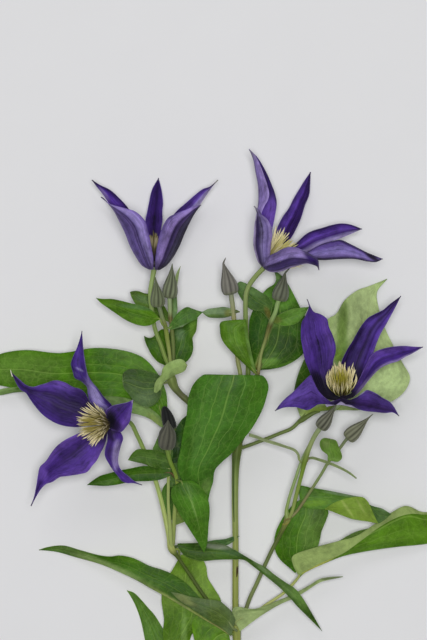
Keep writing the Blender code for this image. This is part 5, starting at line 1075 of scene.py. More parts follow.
# ---------------------------------------------------------------- buds on their stalks
bud("bud_1", [(171.2, 368, 32.9, 1.9), (170.2, 360, 33.6, 2.2), (169, 350, 34.5, 2.3), (167.5, 340, 36.0, 2.5),
              (165.5, 327, 38.0, 2.8), (162, 317, 39.5, 2.4), (159.5, 308, 41.0, 2.4)],
    (158.4, 306.8, 41.2), (155.3, 277, 44.0), 8.5)
bud("bud_2", [(173.4, 366, 30.8, 2.0), (173.2, 345, 33.0, 2.2), (172, 330, 34.2, 2.2), (170.4, 318, 35.0, 2.3),
              (169.6, 300, 35.6, 2.4)], (169.4, 298.3, 35.8), (172.3, 263.5, 37.5), 9.0)
bud("bud_3", [(237, 433, 27.0, 2.1), (239, 405, 28.5, 2.2), (240.5, 376, 30.0, 2.5), (238, 362, 30.5, 2.5),
              (236, 345, 31.5, 2.5), (234, 320, 32.5, 2.6), (232.5, 305, 33.5, 2.6), (231.3, 296, 34.0, 2.6)],
    (231.6, 294.5, 34.2), (222.5, 260.5, 36.0), 10.0, hook=(225.6, 257.6, 36.2))
bud("bud_4", [(246, 431, 25.8, 2.0), (251, 408, 27.0, 2.2), (256, 385, 28.0, 2.4), (258, 374, 29.0, 2.8),
              (261.2, 354, 30.5, 2.4), (265, 341, 31.5, 2.4), (270.6, 323, 33.0, 3.0), (275.4, 312, 34.5, 2.5),
              (278, 302, 36.0, 2.5)], (279.2, 300.9, 36.2), (285.6, 270.5, 38.0), 9.6, hook=(290.5, 267.0, 38.0))
bud("bud_5", [(292, 512, 27.8, 2.0), (295.3, 499, 30.0, 2.3), (298.6, 486, 32.5, 2.3), (302, 473, 35.0, 2.4),
              (304.6, 462, 37.5, 3.1), (308.8, 449, 40.5, 2.8), (313.6, 438, 43.5, 2.7), (319, 429.5, 46.5, 2.8)],
    (320, 428.5, 47.0), (336.5, 404.5, 51.0), 8.3)
bud("bud_6", [(295.5, 513, 23.6, 1.9), (300, 507, 24.5, 2.1), (308, 495, 27.0, 2.2), (315, 484, 29.0, 2.2),
              (322, 473, 31.0, 2.2), (329, 461, 32.5, 2.4), (335, 454, 33.5, 2.2), (340, 448, 34.5, 2.2),
              (345.5, 440.5, 36.0, 2.3)], (347, 439, 36.2), (370.5, 416, 38.0), 8.8, hook=(373, 414, 38.0))
bud("bud_7", [(173.0, 541, 20.4, 2.5), (173.8, 528, 22.8, 2.5), (175.2, 505, 27.0, 2.4), (177.3, 486, 30.0, 2.3),
              (176.5, 478, 31.6, 2.3), (173.5, 469, 34.4, 2.4), (170, 461, 37.0, 2.5), (167.5, 451, 39.4, 2.8)],
    (166.8, 448.2, 39.8), (168.0, 420, 47.0), 10.2, shape=BLUNT)
bud("bud_8", [(170.6, 537, 24.6, 2.4), (169.6, 520, 27.0, 2.2), (168.4, 505, 28.5, 1.8), (168.3, 490, 29.4, 1.8),
              (168.4, 478, 30.0, 1.8), (169, 460, 31.0, 1.9), (170.5, 446, 32.0, 1.9), (172, 433, 33.0, 2.2)],
    (171.6, 430.5, 33.2), (164, 406.3, 34.5), 7.8, shape=FAT)

# ---------------------------------------------------------------- flower a: goblet, opens towards +Y
sepal("flower_a_sepal_1", [(149.5, 267), (141, 254), (130.5, 236), (120, 218), (109.5, 204), (101.5, 192.5), (97, 187), (92, 180)],
      [(152.3, 262), (146, 245), (139, 228), (128, 208), (120, 199), (110, 190), (100, 185), (92, 180)],
      ([30, 26, 23, 21, 21], [29.5, 22, 18, 17, 20], [30, 25, 22, 21, 21]))
sepal("flower_a_sepal_2", [(148.5, 269.2), (142, 265.5), (136, 257), (130, 246), (125, 233), (120, 223), (115, 213), (110, 206), (104, 199), (101, 197)],
      [(153.3, 269.3), (153.2, 258), (152, 250), (150, 240), (147.5, 229), (145, 221), (136, 212), (128, 209), (120, 207), (110, 204), (101, 197)],
      ([36.5, 38, 42, 48, 54, 58], [38, 45, 51, 55, 58, 60], [38, 46, 50, 54, 57, 60]))
sepal("flower_a_sepal_3", [(152.4, 264), (149, 250), (147, 238), (146, 226), (145.5, 220), (147, 213), (149, 203), (152, 190), (158.5, 178)],
      [(156.5, 264), (158, 250), (160, 236), (161.5, 226), (162.5, 220), (162.3, 211), (163, 203), (161.5, 190), (158.5, 178)],
      ([28.6, 25, 19.5, 14, 8, 1], [27.2, 21.5, 15, 8.5, 3.5, 0.4], [28.6, 25, 19.5, 14, 8, 1]))
sepal("flower_a_sepal_4", [(155, 269.4), (155.8, 256), (158, 242), (161, 231), (168, 218), (175, 214), (185, 210), (195, 206), (201, 205)],
      [(160, 269.8), (167, 265), (173, 257.5), (179, 247), (184, 235), (190, 222), (195, 213), (201, 205)],
      ([38, 46, 52, 57, 61, 64], [38.5, 47, 54, 59, 62, 64], [36.5, 39, 45, 52, 59, 64]))
sepal("flower_a_sepal_5", [(156.8, 262), (160, 245), (166, 228), (175, 213), (187, 202), (195, 195), (203, 189), (209, 187), (218, 180)],
      [(159.5, 266), (165, 256), (174, 240), (184, 226), (195, 211), (201, 203), (205, 197), (210, 190), (218, 180)],
      ([30, 26, 23, 21, 21], [29.5, 22, 18, 17, 20], [30, 25, 22, 21, 21]))
stamens("flower_a_stamens", (154.3, 262, 33.5), (154.3, 231, 36.0), 9.0)

# ---------------------------------------------------------------- flower b: tilted, opens towards +X +Y
sepal("flower_b_sepal_1", [(261.6, 258), (260, 240), (259.8, 222), (261.6, 213), (264.6, 206), (268, 200), (269.2, 194), (267.6, 186), (264, 175), (260.3, 165.5), (257, 158.5), (253.6, 153.4), (249, 149)],
      [(265, 257), (269, 243), (272.5, 228), (275.3, 214), (276.7, 203), (274.8, 193), (271.6, 184.5), (267.6, 175), (262.6, 165.5), (257.5, 157.5), (249, 149)],
      ([34, 37, 39, 39, 37, 34], [33.5, 32, 32, 32, 32.5, 33], [32, 28, 26, 26, 28, 32]),
      mid=[(260.5, 258), (256.5, 240), (257, 222), (259, 207), (259, 195), (258.5, 185), (256, 172), (254, 161), (251.5, 154), (249, 149)])
sepal("flower_b_sepal_2", [(263.0, 267.2), (258.6, 262.5), (255.6, 254.5), (253.5, 245), (254, 232), (255, 222), (257, 215), (255.5, 209), (254, 206)],
      [(266.5, 267), (269.5, 258), (270.3, 250), (271, 243), (272, 235), (271, 226), (267, 219), (262, 215), (259, 210), (254, 206)],
      ([37.5, 43, 48, 53, 58, 62], [39, 47, 53, 57, 60, 62], [38.5, 45, 50, 55, 59, 62]))
sepal("flower_b_sepal_3", [(267.5, 257), (270, 245), (275, 233), (282, 218), (289, 208), (294, 198), (300, 188), (305, 180), (310.5, 172)],
      [(270.5, 260), (280, 250), (291, 238), (297, 227), (301, 218), (305, 205), (309, 195), (310, 185), (310.5, 172)],
      ([31, 26, 20, 14, 8, 1], [29.5, 22, 15, 8.5, 3.5, 0.4], [31, 26, 20, 14, 8, 1]))
sepal("flower_b_sepal_4", [(272, 258.5), (283, 250), (296, 243), (305, 235), (312, 231), (322, 228), (332, 225), (341, 223.5), (350, 224.5), (362, 229)],
      [(272, 262.5), (284, 258), (297, 254), (307, 252), (315, 247.5), (328, 242), (338, 239), (348, 235), (362, 229)],
      ([32, 30, 30, 31, 31, 31], [31.5, 27, 26, 26, 28, 30], [32.5, 31, 31, 31, 31, 31]))
sepal("flower_b_sepal_5", [(270, 262.6), (288, 258), (303, 254), (318, 246), (325, 243), (333, 241), (341, 240), (350, 244), (360, 249), (368, 253), (383, 259)],
      [(270, 266.6), (290, 264), (305, 261), (318, 260), (325, 260), (340, 259), (355, 259), (368, 261.5), (376, 262), (383, 259)],
      ([36, 38, 39, 40, 42, 45], [36, 40, 43, 44, 44, 45], [36, 38, 40, 42, 43, 45]))
sepal("flower_b_sepal_6", [(262.8, 265.5), (269, 256.5), (277, 252), (285, 248), (293, 247), (300, 249), (308, 253), (315, 257), (318, 260), (319, 270)],
      [(264, 268.3), (268.5, 271.2), (275, 272.3), (282, 271), (290, 268), (300, 265), (306, 263.5), (312, 264.5), (317, 266.5), (319, 270)],
      ([40, 50, 57, 62, 64, 60], [42, 52, 60, 66, 67, 60], [41, 46, 53, 60, 63, 60]))
stamens("flower_b_stamens", (268, 259.5, 35.0), (290, 238, 43.5), 9.5)

# ---------------------------------------------------------------- flower c: faces up and towards +Y
sepal("flower_c_sepal_1", [(331.5, 400), (325, 398), (318, 390), (313, 380), (309, 370), (305, 360), (303, 350), (301, 338), (301, 330), (302, 322), (306, 315), (309, 305), (307, 299)],
      [(335.5, 395), (335, 385), (334, 375), (333, 362), (335.5, 352), (335.5, 345), (333, 336), (329, 327), (327, 319), (320, 314), (314, 312), (310, 306), (307, 299)],
      ([42, 41.5, 43, 45, 46, 45], [41.5, 38.5, 40, 43, 45, 45], [42, 40.5, 42, 44, 46, 45]))
sepal("flower_c_sepal_2", [(341, 393), (340, 380), (341, 364), (347, 350), (352, 342), (357, 333), (362, 325), (368, 318), (375, 314), (383, 310), (390, 304), (401, 296)],
      [(347, 394), (356, 389), (365, 380), (368, 372), (371, 361), (373, 354), (376, 345), (380, 335), (386, 324.5), (391.5, 314.5), (396.5, 305), (401, 296)],
      ([39.5, 39, 40, 42, 42, 40], [38.5, 35.5, 36.5, 39, 40.5, 40], [39.5, 39, 40, 42, 42, 40]))
sepal("flower_c_sepal_3", [(351, 393.5), (359, 380), (366, 365), (371, 356), (376, 351.5), (384, 348.5), (394, 346.6), (404, 346), (415, 346.8), (423, 347)],
      [(353, 397.5), (361, 390), (368, 381), (376, 372), (382, 367), (390, 363.5), (398, 361), (405, 357), (413, 353), (423, 347)],
      ([42.5, 45, 47, 49, 51, 53], [42, 43, 44, 46, 49, 53], [43, 46, 49, 50, 52, 53]))
sepal("flower_c_sepal_4", [(349.5, 400), (357, 397), (362, 393), (367, 390), (372, 391.5), (377, 394), (383, 398), (390, 402), (394, 407), (399, 416)],
      [(346, 404.3), (352, 405.5), (358, 409), (365, 411), (375, 412), (385, 413), (393, 412.5), (399, 416)],
      ([45, 51, 57, 62, 64, 62], [44, 48, 53, 58, 61, 62], [45, 50, 55, 60, 62, 62]))
sepal("flower_c_sepal_5", [(335.5, 405), (325, 404), (318, 404.5), (314, 407), (308, 410), (302, 409), (298, 407.5), (290, 407), (284, 407.5), (275, 411)],
      [(331, 402), (324, 397), (318, 390), (313, 380), (311, 375), (307, 378), (303, 382), (297, 388), (292, 393), (286, 398), (281, 403), (275, 411)],
      ([44.5, 50, 55, 58, 60, 60], [44.5, 49, 53, 57, 59, 60], [46, 51, 55, 58, 60, 60]))
stamens("flower_c_stamens", (341, 398, 43.0), (341, 378, 57.0), 14.0)

# ---------------------------------------------------------------- flower d: faces up and towards -X
sepal("flower_d_sepal_1", [(103.5, 413), (103, 408), (95, 406), (90, 401), (88, 394), (87, 387), (81, 381), (75, 378), (73, 372), (71, 364), (73, 357), (76, 350), (79, 342), (82, 331)],
      [(109, 414), (112, 406), (109, 402), (104, 397), (98, 389), (92, 382), (88, 375), (86, 367), (84, 355), (83, 345), (82, 331)],
      ([55, 59, 60, 57, 53, 49], [53, 56, 56, 54, 52, 49], [54, 57, 57, 56, 53, 49]))
sepal("flower_d_sepal_2", [(104, 424), (95, 425.5), (85, 426), (78, 427), (68, 426.5), (58, 424), (50, 420), (42, 414), (35, 406), (30, 399), (26, 393), (20, 389), (11, 372)],
      [(101, 415), (96, 408), (90, 402), (85, 393), (80, 389), (73, 387), (65, 382.5), (57, 380.5), (52, 381), (47, 383), (40, 385), (33, 387), (26, 385), (20, 380), (11, 372)],
      ([52, 54, 55, 54, 52, 48], [51.5, 50, 50, 50, 49, 48], [52, 53.5, 53, 53, 51, 48]))
sepal("flower_d_sepal_3", [(107, 434.5), (105, 444), (101, 452), (97, 460), (92, 466), (87, 472), (80, 474), (68, 476), (60, 477), (52, 482), (46, 484), (41, 489), (38, 493.5), (31, 506)],
      [(102, 431), (92, 429.5), (84, 431), (75, 435), (65, 440), (57, 446), (52, 452), (46, 461), (40, 467), (38, 475), (36.5, 485), (34, 497), (31, 506)],
      ([50.5, 52, 52, 50, 46, 39], [50, 48.5, 48, 46, 42, 38], [51, 52, 52, 50, 46, 39]))
sepal("flower_d_sepal_4", [(108.5, 424), (105.5, 412), (111, 406.5), (120, 404), (127, 402.5), (133, 400)],
      [(117, 431.5), (121, 432), (126, 427), (130, 421), (131, 415), (132, 408), (133, 400)],
      ([54, 63, 69, 72, 73, 73], [52, 56, 61, 66, 70, 73], [53.5, 60, 66, 70, 72, 73]))
sepal("flower_d_sepal_5", [(119, 429), (123, 438), (121, 445), (119, 453), (118, 460), (119, 466), (122, 471), (128, 476), (134, 481), (142, 485)],
      [(107.5, 430), (107.3, 441), (105.2, 449), (105, 456), (108.5, 463), (113, 470), (118, 476), (122, 481), (127, 483), (133, 483), (142, 485)],
      ([53, 56, 57, 55, 51, 46], [51.5, 52, 53, 52, 49, 46], [52.5, 55, 55, 53, 50, 46]))
stamens("flower_d_stamens", (110, 425, 53.5), (92, 422, 66.0), 16.0)

# ---------------------------------------------------------------- leaves of the upper left branch
leaf("leaf_pair_1",     # long leaf to the left, broad one to the right, at the bud node
     blade_rows([(159, 320), (157, 321), (153, 324), (147, 326), (140, 325.5), (132, 323), (124, 319), (116, 313.5), (108, 308), (101, 303), (96, 298)],
                [(159.5, 317.5), (158, 316.5), (154, 312), (148, 308), (140, 305), (132, 303.5), (122, 301), (112, 299), (103, 299), (96, 298)],
                ([41.5, 39, 37, 33, 29], [42, 38, 36, 32, 29], [41.5, 39.5, 38, 34, 29]), neck=[(162.5, 324.5, 41.3, 2.4)]),
     blade_rows([(169, 326), (172, 321), (176, 315), (180, 311), (187, 307), (192, 308.5), (196, 310), (203, 312)],
                [(170, 330), (176, 328.5), (183, 326), (190, 322), (196, 319), (200, 315), (203, 312)],
                ([41.5, 41, 40, 38.5, 37.5], [41.5, 40, 39, 38, 37.5], [41.5, 40.5, 39.5, 38.5, 37.5])))
leaf("leaf_pair_2",     # pair behind the bud stalks, pointing up
     blade_rows([(168.5, 322), (160, 318), (150, 312), (141, 307), (135.5, 304), (133, 300), (131, 296), (130, 292)],
                [(170, 317), (166, 309), (160, 300), (150, 294), (145, 293.5), (138, 291), (133, 291), (130, 292)],
                ([29, 28, 26, 25, 23], [28.5, 27, 25, 24, 23], [29, 28, 27, 25, 23])),
     blade_rows([(169, 318), (169, 310), (169.5, 300), (171, 290), (174.5, 280), (177, 272), (180.5, 266)],
                [(173.5, 321), (177, 313), (177.4, 306), (176.8, 296), (177.4, 284), (178.8, 275), (180.5, 266)],
                ([28.5, 29, 29, 29, 30], [28.5, 28, 28, 28.5, 30], [28.5, 29, 29.5, 30, 30])))
leaf("leaf_pair_3",     # dark pair behind the stalks above the branch node
     blade_rows([(166, 366), (162, 364), (158, 362), (154, 358), (150, 352), (147, 346), (145, 341), (144, 336)],
                [(171, 361), (171, 350), (169, 338), (163, 329), (156, 334), (153, 337), (149, 338), (144, 336)],
                ([24.5, 23, 22, 21, 20], [24, 21.5, 21, 20.5, 20], [25, 25, 24, 22, 20])),
     blade_rows([(168, 361), (168, 350), (168, 340), (172, 328), (182, 327), (186, 324), (192, 320), (197.5, 318)],
                [(174, 366), (186, 362), (191, 356), (193, 350), (193, 343), (192.5, 338), (196, 331), (197.5, 318)],
                ([25, 25.5, 25, 25, 25.5], [24.5, 22.5, 22, 23, 25.5], [25, 24, 24, 25, 25.5])))
leaf("leaf_pair_4",     # dull round leaf to the left and the pale folded one over the node
     blade_rows([(160, 386), (161, 394), (158, 401), (152, 406), (146, 407), (140, 405), (134, 401), (128, 393), (124, 388), (123, 382)],
                [(160, 382), (160, 376), (150, 372), (142, 370), (133, 369), (127, 370), (123, 374), (123, 382)],
                ([34, 34, 33, 32.5, 32], [34, 32.5, 31.5, 31.5, 32], [34, 34, 33, 32.5, 32]),
                ),
     blade_rows([(186.6, 366.6), (185.2, 370.2), (181, 372.8), (175, 375), (170, 378), (165, 381), (163, 384), (161, 388.5), (156.5, 393)],
                [(186.4, 364), (184.4, 360.9), (180, 359.1), (172, 361), (168, 363), (163, 368), (161, 375), (156, 381), (154, 388), (154, 392)],
                ([37.5, 38, 38, 38, 37.5], [38.5, 39.5, 39.5, 39, 37.5], [37.5, 38, 38, 38, 37.5])), slot="leaf_underside")
leaf("leaf_pair_5",     # the largest leaf, far left, and the one under it
     blade_rows([(165.5, 428), (161, 417.5), (150, 408), (138, 402), (125, 397.5), (105, 396), (80, 397), (55, 395), (30, 391), (8, 387), (-12, 383), (-30, 375)],
                [(168.5, 424), (167.5, 408), (166, 392), (158, 374), (145, 359), (133, 353), (115, 349), (93, 348), (60, 353), (25, 350), (0, 354), (-16, 362), (-30, 375)],
                ([23, 23, 23, 20, 15, 8, 1], [23, 25, 25, 22, 16, 8, 0.4], [23, 26, 26, 25, 20, 10, 1]),
                neck=[(231, 447, 18.6, 3.4), (212, 438, 17.5, 3.0), (190, 431, 18.0, 3.0)]),
     blade_rows([(165, 429), (158, 425), (150, 419), (140, 415), (132, 413), (120, 409), (100, 403), (70, 398), (45, 395), (28, 392), (14, 392.5), (2, 395), (-10, 396)],
                [(167, 425), (160, 415), (150, 405), (132, 399.5), (112, 394.5), (90, 391), (60, 388), (30, 386), (12, 387.5), (0, 389.5), (-10, 396)],
                ([18.5, 17.5, 16.5, 14.5, 11.5, 6], [18, 16, 15, 13, 10, 6], [18.5, 18, 17, 15, 12, 6])))

# ---------------------------------------------------------------- leaves of the middle axis
leaf("leaf_small_left",  # narrow leaf on the stalk of the third bud
     blade_rows([(231.6, 315.8), (226, 317.5), (215, 318), (208, 317), (204, 314), (202, 312)],
                [(231.8, 308.6), (224, 307), (215, 308), (208, 309), (204, 311), (202, 312)],
                ([33.5, 32.5, 31.5, 31.5, 32], [34, 34, 33.5, 32.5, 32], [33.5, 32.5, 32, 32, 32])))
leaf("leaf_pair_6",     # light leaf left and large dark veined leaf right
     blade_rows([(256.5, 372), (254, 363), (252, 355), (250, 345), (248, 335), (246.8, 325), (246, 319.5)],
                [(253.5, 373), (250, 369.5), (240, 360), (229, 349), (224, 343), (221, 337), (220, 330), (220.5, 322.5), (235, 320), (246, 319.5)],
                ([32.5, 33, 34, 36, 37.5], [33, 36, 37.5, 38.5, 38.5], [32.5, 35, 36.5, 37.5, 38])),
     blade_rows([(256, 370), (250, 350), (249, 335), (249.5, 320), (253, 310), (258, 300), (263, 293), (268, 288), (274, 284), (276, 279), (274, 270)],
                [(261, 370), (272, 369), (287, 365), (303.5, 353), (309, 335), (306, 318), (302, 311), (295, 297), (288, 284), (283, 277), (274, 270)],
                ([24.5, 22, 20.5, 19.5, 18.5, 17.5], [25.5, 25.5, 24, 21.5, 19, 17.5], [24.5, 23, 21.5, 20, 18.5, 17.5]),
                neck=[(257.8, 373.5, 26.5, 2.0)]))
leaf("leaf_pair_7",     # pair at the node under the fourth bud
     blade_rows([(268.5, 321), (262, 312), (251, 309.5), (246, 305), (242, 300), (239, 295), (237, 290), (236.5, 284)],
                [(270, 317), (272, 303), (268, 297), (260, 291.5), (249, 285), (245, 283), (240, 281.5), (236.5, 284)],
                ([28.2, 26.5, 25, 24.5, 24], [28.5, 25.5, 24.5, 24, 24], [28.5, 27, 26, 25, 24])),
     blade_rows([(272, 318.5), (282, 313), (292, 309), (302, 307.5), (309, 307)],
                [(272, 322), (285, 326), (297, 323), (303, 317), (309, 307)],
                ([28.5, 28, 27.5, 26.5, 26], [28.3, 26.5, 26, 26, 26], [28.5, 27.5, 27, 26.5, 26])))

# ---------------------------------------------------------------- leaves of the main node
leaf("leaf_drooping_upper",  # big leaf that arches over in front of the stems
     blade_rows([(254, 377), (262, 375.5), (267, 381), (268.5, 387), (267, 395), (263, 408), (257, 420), (250, 431), (245, 437), (231, 454), (222, 462), (215, 470), (213, 482), (210, 492), (206, 512)],
                [(214, 377), (205, 374.5), (199, 378), (193, 385), (190, 392), (188, 400), (186.5, 416), (183, 434), (180, 452), (177.5, 464), (180, 476), (187, 490), (195, 503), (206, 512)],
                ([41.5, 41, 40, 38.5, 37.5, 36, 32, 27], [47.5, 48, 46, 43.5, 40.5, 38, 33, 27], [43, 43, 41, 38.5, 35.5, 32.5, 29.5, 27]),
                neck=[(232, 441.5, 27.5, 2.8), (231, 415, 33.0, 2.8), (233, 390, 40.0, 3.0)]))
leaf("leaf_drooping_lower",  # its smaller neighbour below
     blade_rows([(184, 480.5), (192, 481), (200, 486), (206, 494), (209.3, 505), (209.5, 515), (208.5, 525), (208, 535), (206.8, 545), (204, 552.5)],
                [(179, 483), (174, 486), (171, 492), (173, 502), (178, 511), (184, 521), (190, 530), (197, 541), (204, 552.5)],
                ([40, 39.5, 38, 35, 31, 27], [41, 42, 40.5, 37, 32, 27], [39.5, 38.5, 37, 34.5, 31, 27])))
leaf("leaf_behind",     # leaf half hidden behind the drooping one, its dark tint painted shade
     blade_rows([(196, 470), (198, 455), (198, 440), (196, 428), (190, 418), (187, 415)],
                [(178, 482), (173.5, 474), (172, 462), (173, 446), (175.5, 430), (181, 420.5), (187, 415)],
                ([25, 26, 27, 28, 28], [24, 24, 25, 26.5, 28], [25, 25, 25, 26, 28]),
                ))
leaf("leaf_pale_back",  # broad leaf behind flower c, underside up, tip on the surface
     blade_rows([(300, 416), (296, 404), (294, 394), (297, 378), (304, 360), (316, 338), (328, 319), (336, 314), (345, 300), (358, 290), (368, 286.5), (387, 279)],
                [(305, 418), (309, 415), (314, 412.3), (326, 410.5), (345, 410), (360, 410), (390, 402), (404, 392), (410, 378), (402, 362), (393, 345), (385, 328), (378, 305), (377, 292), (387, 279)],
                ([16, 17, 16, 14, 9, 1], [15, 12, 11, 10, 6, 0.4], [15.5, 17, 17, 14, 8, 1]),
                neck=[(246, 446.5, 19.5, 3.4), (263, 440.2, 18.5, 2.8), (279, 433.8, 17.2, 2.8), (292, 428.3, 16.4, 3.0), (299.5, 421.0, 16.0, 3.0)]), slot="leaf_underside")

# ---------------------------------------------------------------- leaves of the left branch
leaf("leaf_pair_8",     # two small leaves at the node of bud 7
     blade_rows([(171, 468), (162, 468.5), (152, 467), (144, 464), (135, 462), (128, 460)],
                [(171.5, 462), (167, 455.5), (158, 450.5), (146, 449.5), (139, 449), (136, 450), (131, 455), (128, 460)],
                ([32.8, 35, 36.5, 37, 37], [33, 34, 35.5, 36.5, 37], [33, 35, 37, 38, 37])),
     blade_rows([(170, 476), (161, 479.5), (150, 481), (135, 481.5), (125, 483), (115, 485), (105, 486), (95, 485.5), (87, 485)],
                [(170, 469.5), (158, 466.5), (143, 466), (130, 468.5), (120, 470.5), (110, 473), (100, 476), (92, 481), (87, 485)],
                ([32.8, 34, 35, 34.5, 33], [32.8, 33.5, 34, 34, 33], [32.8, 35, 36, 35.5, 33])))
leaf("leaf_hanging",    # narrow dark leaf behind the three stalks
     blade_rows([(173.5, 480), (176, 492), (177, 505), (176, 514), (171.5, 520)],
                [(168, 481), (163, 488), (161, 497), (162.5, 508), (167, 516), (171.5, 520)],
                ([21, 20, 19, 18.5, 18], [20.5, 18.5, 17.5, 17.5, 18], [21, 20, 19, 18.5, 18])))
leaf("leaf_pair_12",    # broad light leaf that hangs down, and the dark twisted one across the main stem
     blade_rows([(181, 555), (190, 553), (200, 556), (206, 566), (208, 578), (214, 588), (221, 601), (218, 612), (206, 622), (194, 631), (190, 640), (189.5, 655), (188.5, 678), (186, 700)],
                [(178, 560), (174, 567), (168, 577), (163, 588), (161.5, 600), (163, 612), (164, 620), (163, 632), (165, 650), (170, 672), (177, 690), (186, 700)],
                ([12.5, 8.5, 7.3, 6.2, 5.5, 4.5, 3.4], [13, 9.5, 8.4, 7.5, 6.5, 5.5, 3.4], [12.5, 8.5, 7, 6, 5.5, 4.5, 3.4]),
                neck=[(178.5, 549.5, 18.6, 3.0)]),
     blade_rows([(177.5, 543.5), (195, 543), (215, 542.5), (225, 545), (235, 550), (245, 556), (257, 563), (265, 567), (275, 575), (285, 582), (295, 588.5), (302, 597), (310, 610), (322, 631)],
                [(178.3, 548), (184, 555), (193, 559), (203, 561), (215, 560), (232, 559.5), (244, 560), (254, 567), (268, 578), (280, 588), (290, 598), (297, 606), (305, 614), (322, 631)],
                ([22, 23, 22.5, 22, 21.5, 20.5, 18, 13], [21.5, 20.5, 20.5, 21, 20.8, 20, 17, 13], [22, 22, 22, 21.5, 21, 20, 17.5, 13])))

# ---------------------------------------------------------------- leaves of the lower node
leaf("leaf_pair_9",     # long leaf to the lower left, its tip on the surface, and the short one over it
     blade_rows([(229, 635), (222, 630), (205, 620), (190, 611), (180, 605), (170, 599), (150, 588), (138, 581), (118, 571.5), (100, 564), (75, 557), (57, 552), (45, 550.5), (39, 550)],
                [(229, 631), (214, 612), (200, 598), (186, 583), (170, 573), (160, 569), (150, 566), (133, 558), (120, 555.5), (110, 556.5), (98, 555), (80, 550), (63, 545.5), (46, 547.5), (39, 550)],
                ([13.5, 13, 13.5, 14, 12, 7, 2, 0.6], [13, 11.5, 12, 13, 11, 6, 1.5, 0.4], [13, 11.5, 11.5, 13.5, 12, 7, 2, 0.6])),
     blade_rows([(231, 636.5), (222, 628), (211, 621.5), (201, 615), (191, 608), (179, 600), (171, 592)],
                [(235.5, 620), (232, 612), (226, 606), (220, 601.5), (205, 599), (190, 596.5), (180, 593.5), (171, 592)],
                ([18, 19, 19.5, 19.5, 19], [19, 21, 21.5, 21, 19], [19, 20, 20.5, 20.5, 19])))
leaf("leaf_node_right",  # pale narrow leaf from the main node to the right
     blade_rows([(231.5, 613), (234, 607.6), (240, 606.8), (246, 608.4), (255, 608.8), (265, 605.6), (275, 601.6), (290, 595.6), (300, 590.4), (310, 584.8), (319, 579.2), (329, 577), (343, 576.3)],
                [(240, 631.5), (247, 626), (256, 619.2), (267, 611.8), (281, 603.8), (295, 597.8), (305, 591.8), (320, 582.4), (330, 579.7), (343, 577)],
                ([16.4, 16, 15.5, 15, 15, 16], [16.6, 17.5, 16.5, 15.5, 15, 16], [16.4, 16.5, 16, 15.2, 15, 16])), slot="leaf_underside")
leaf("leaf_low_left",   # leaf of the node below, points up to the left
     blade_rows([(231, 700), (205, 706), (180, 704), (160, 685), (150, 662), (145, 640), (140.7, 620), (135.3, 605), (130.5, 596), (127, 590.5)],
                [(233, 695), (222, 680), (200, 665), (178, 650), (164, 630), (154.5, 615), (148, 607.7), (140.5, 599), (133.5, 592.5), (127, 590.5)],
                ([3.4, 2.4, 2.2, 2.0, 1.5, 0.8], [3.2, 1.4, 1.0, 1.0, 0.6, 0.4], [3.4, 2.6, 2.4, 2.2, 1.5, 0.8])))
leaf("leaf_low_right",  # leaf of the same side, points down
     blade_rows([(230, 640), (232, 652), (229, 672), (218, 695), (205, 714), (190, 730)],
                [(228, 628), (214, 615), (201, 613), (193, 620), (192.3, 630), (194.6, 641), (194.8, 655), (194.5, 675), (193, 700), (190, 730)],
                ([9.5, 8.5, 7.5, 6.5, 5.2, 3.4], [9.4, 9.4, 9, 8, 6.2, 3.4], [9.5, 9.7, 9, 7.8, 6, 3.4])))

# ---------------------------------------------------------------- leaves of the right branch
leaf("leaf_pair_10",    # dark broad leaf upwards and the long folded one to the right, tip on the surface
     blade_rows([(295, 573), (289, 567.5), (281.5, 561), (276.5, 554), (274, 544), (275.6, 533), (279.8, 523), (287, 511.5), (295.5, 502.5), (304, 498)],
                [(299, 570), (310, 560), (316.5, 550), (320, 539), (321.6, 531), (325.8, 521), (328.3, 511), (320, 502), (304, 498)],
                ([12.5, 13, 14.5, 16.5, 17.5, 18], [12.5, 15, 17, 18.6, 18.8, 18], [12.5, 14, 15.5, 17, 17.8, 18])),
     dict(stations=[
         [(300, 577, 14), (299, 575.3, 15), (297.6, 573.8, 16.2), (300.6, 575.6, 16.8)],
         [(303, 574.2, 13.9), (298.6, 569.5, 15.8), (293.2, 564.5, 17.4), (302.5, 572.5, 17.9)],
         [(308, 571.0, 13.8), (302, 563, 16), (294.0, 555.3, 18.2), (309, 569.2, 18.6)],
         [(322, 564.5, 13.5), (319, 556, 16.5), (316, 547.5, 19), (322, 562.5, 18.8)],
         [(342, 556.5, 12.8), (340, 549, 16.5), (338, 541.5, 19.2), (343, 553.5, 19)],
         [(362, 552, 11.8), (359, 545, 16), (356, 536.5, 18.8), (360, 541.5, 19.2)],
         [(382, 548.8, 10), (378, 539, 15), (374, 525, 17.5), (379, 527.5, 18.2)],
         [(400, 546.5, 8), (396, 532, 13), (391, 513.5, 15.5), (396, 518, 16.2)],
         [(415, 545.2, 6), (411, 529, 11), (406, 506.6, 13), (410, 514, 13.8)],
         [(430, 543, 4), (425, 528, 7.5), (421, 512.5, 9), (421.5, 514.5, 9.6)],
         [(440, 537, 2), (438, 529, 3.8), (434, 515, 4.5), (434.3, 516.5, 5)],
         [(448.5, 529.3, 0.7), (448.2, 529.0, 0.8), (448, 528.6, 0.9), (447.6, 528.8, 1.2)]],
         neck=[(250, 616.5, 12.6, 2.6), (266, 605, 12.8, 2.6), (285, 592, 12.2, 2.6), (295.5, 581, 12.6, 3.0)]))
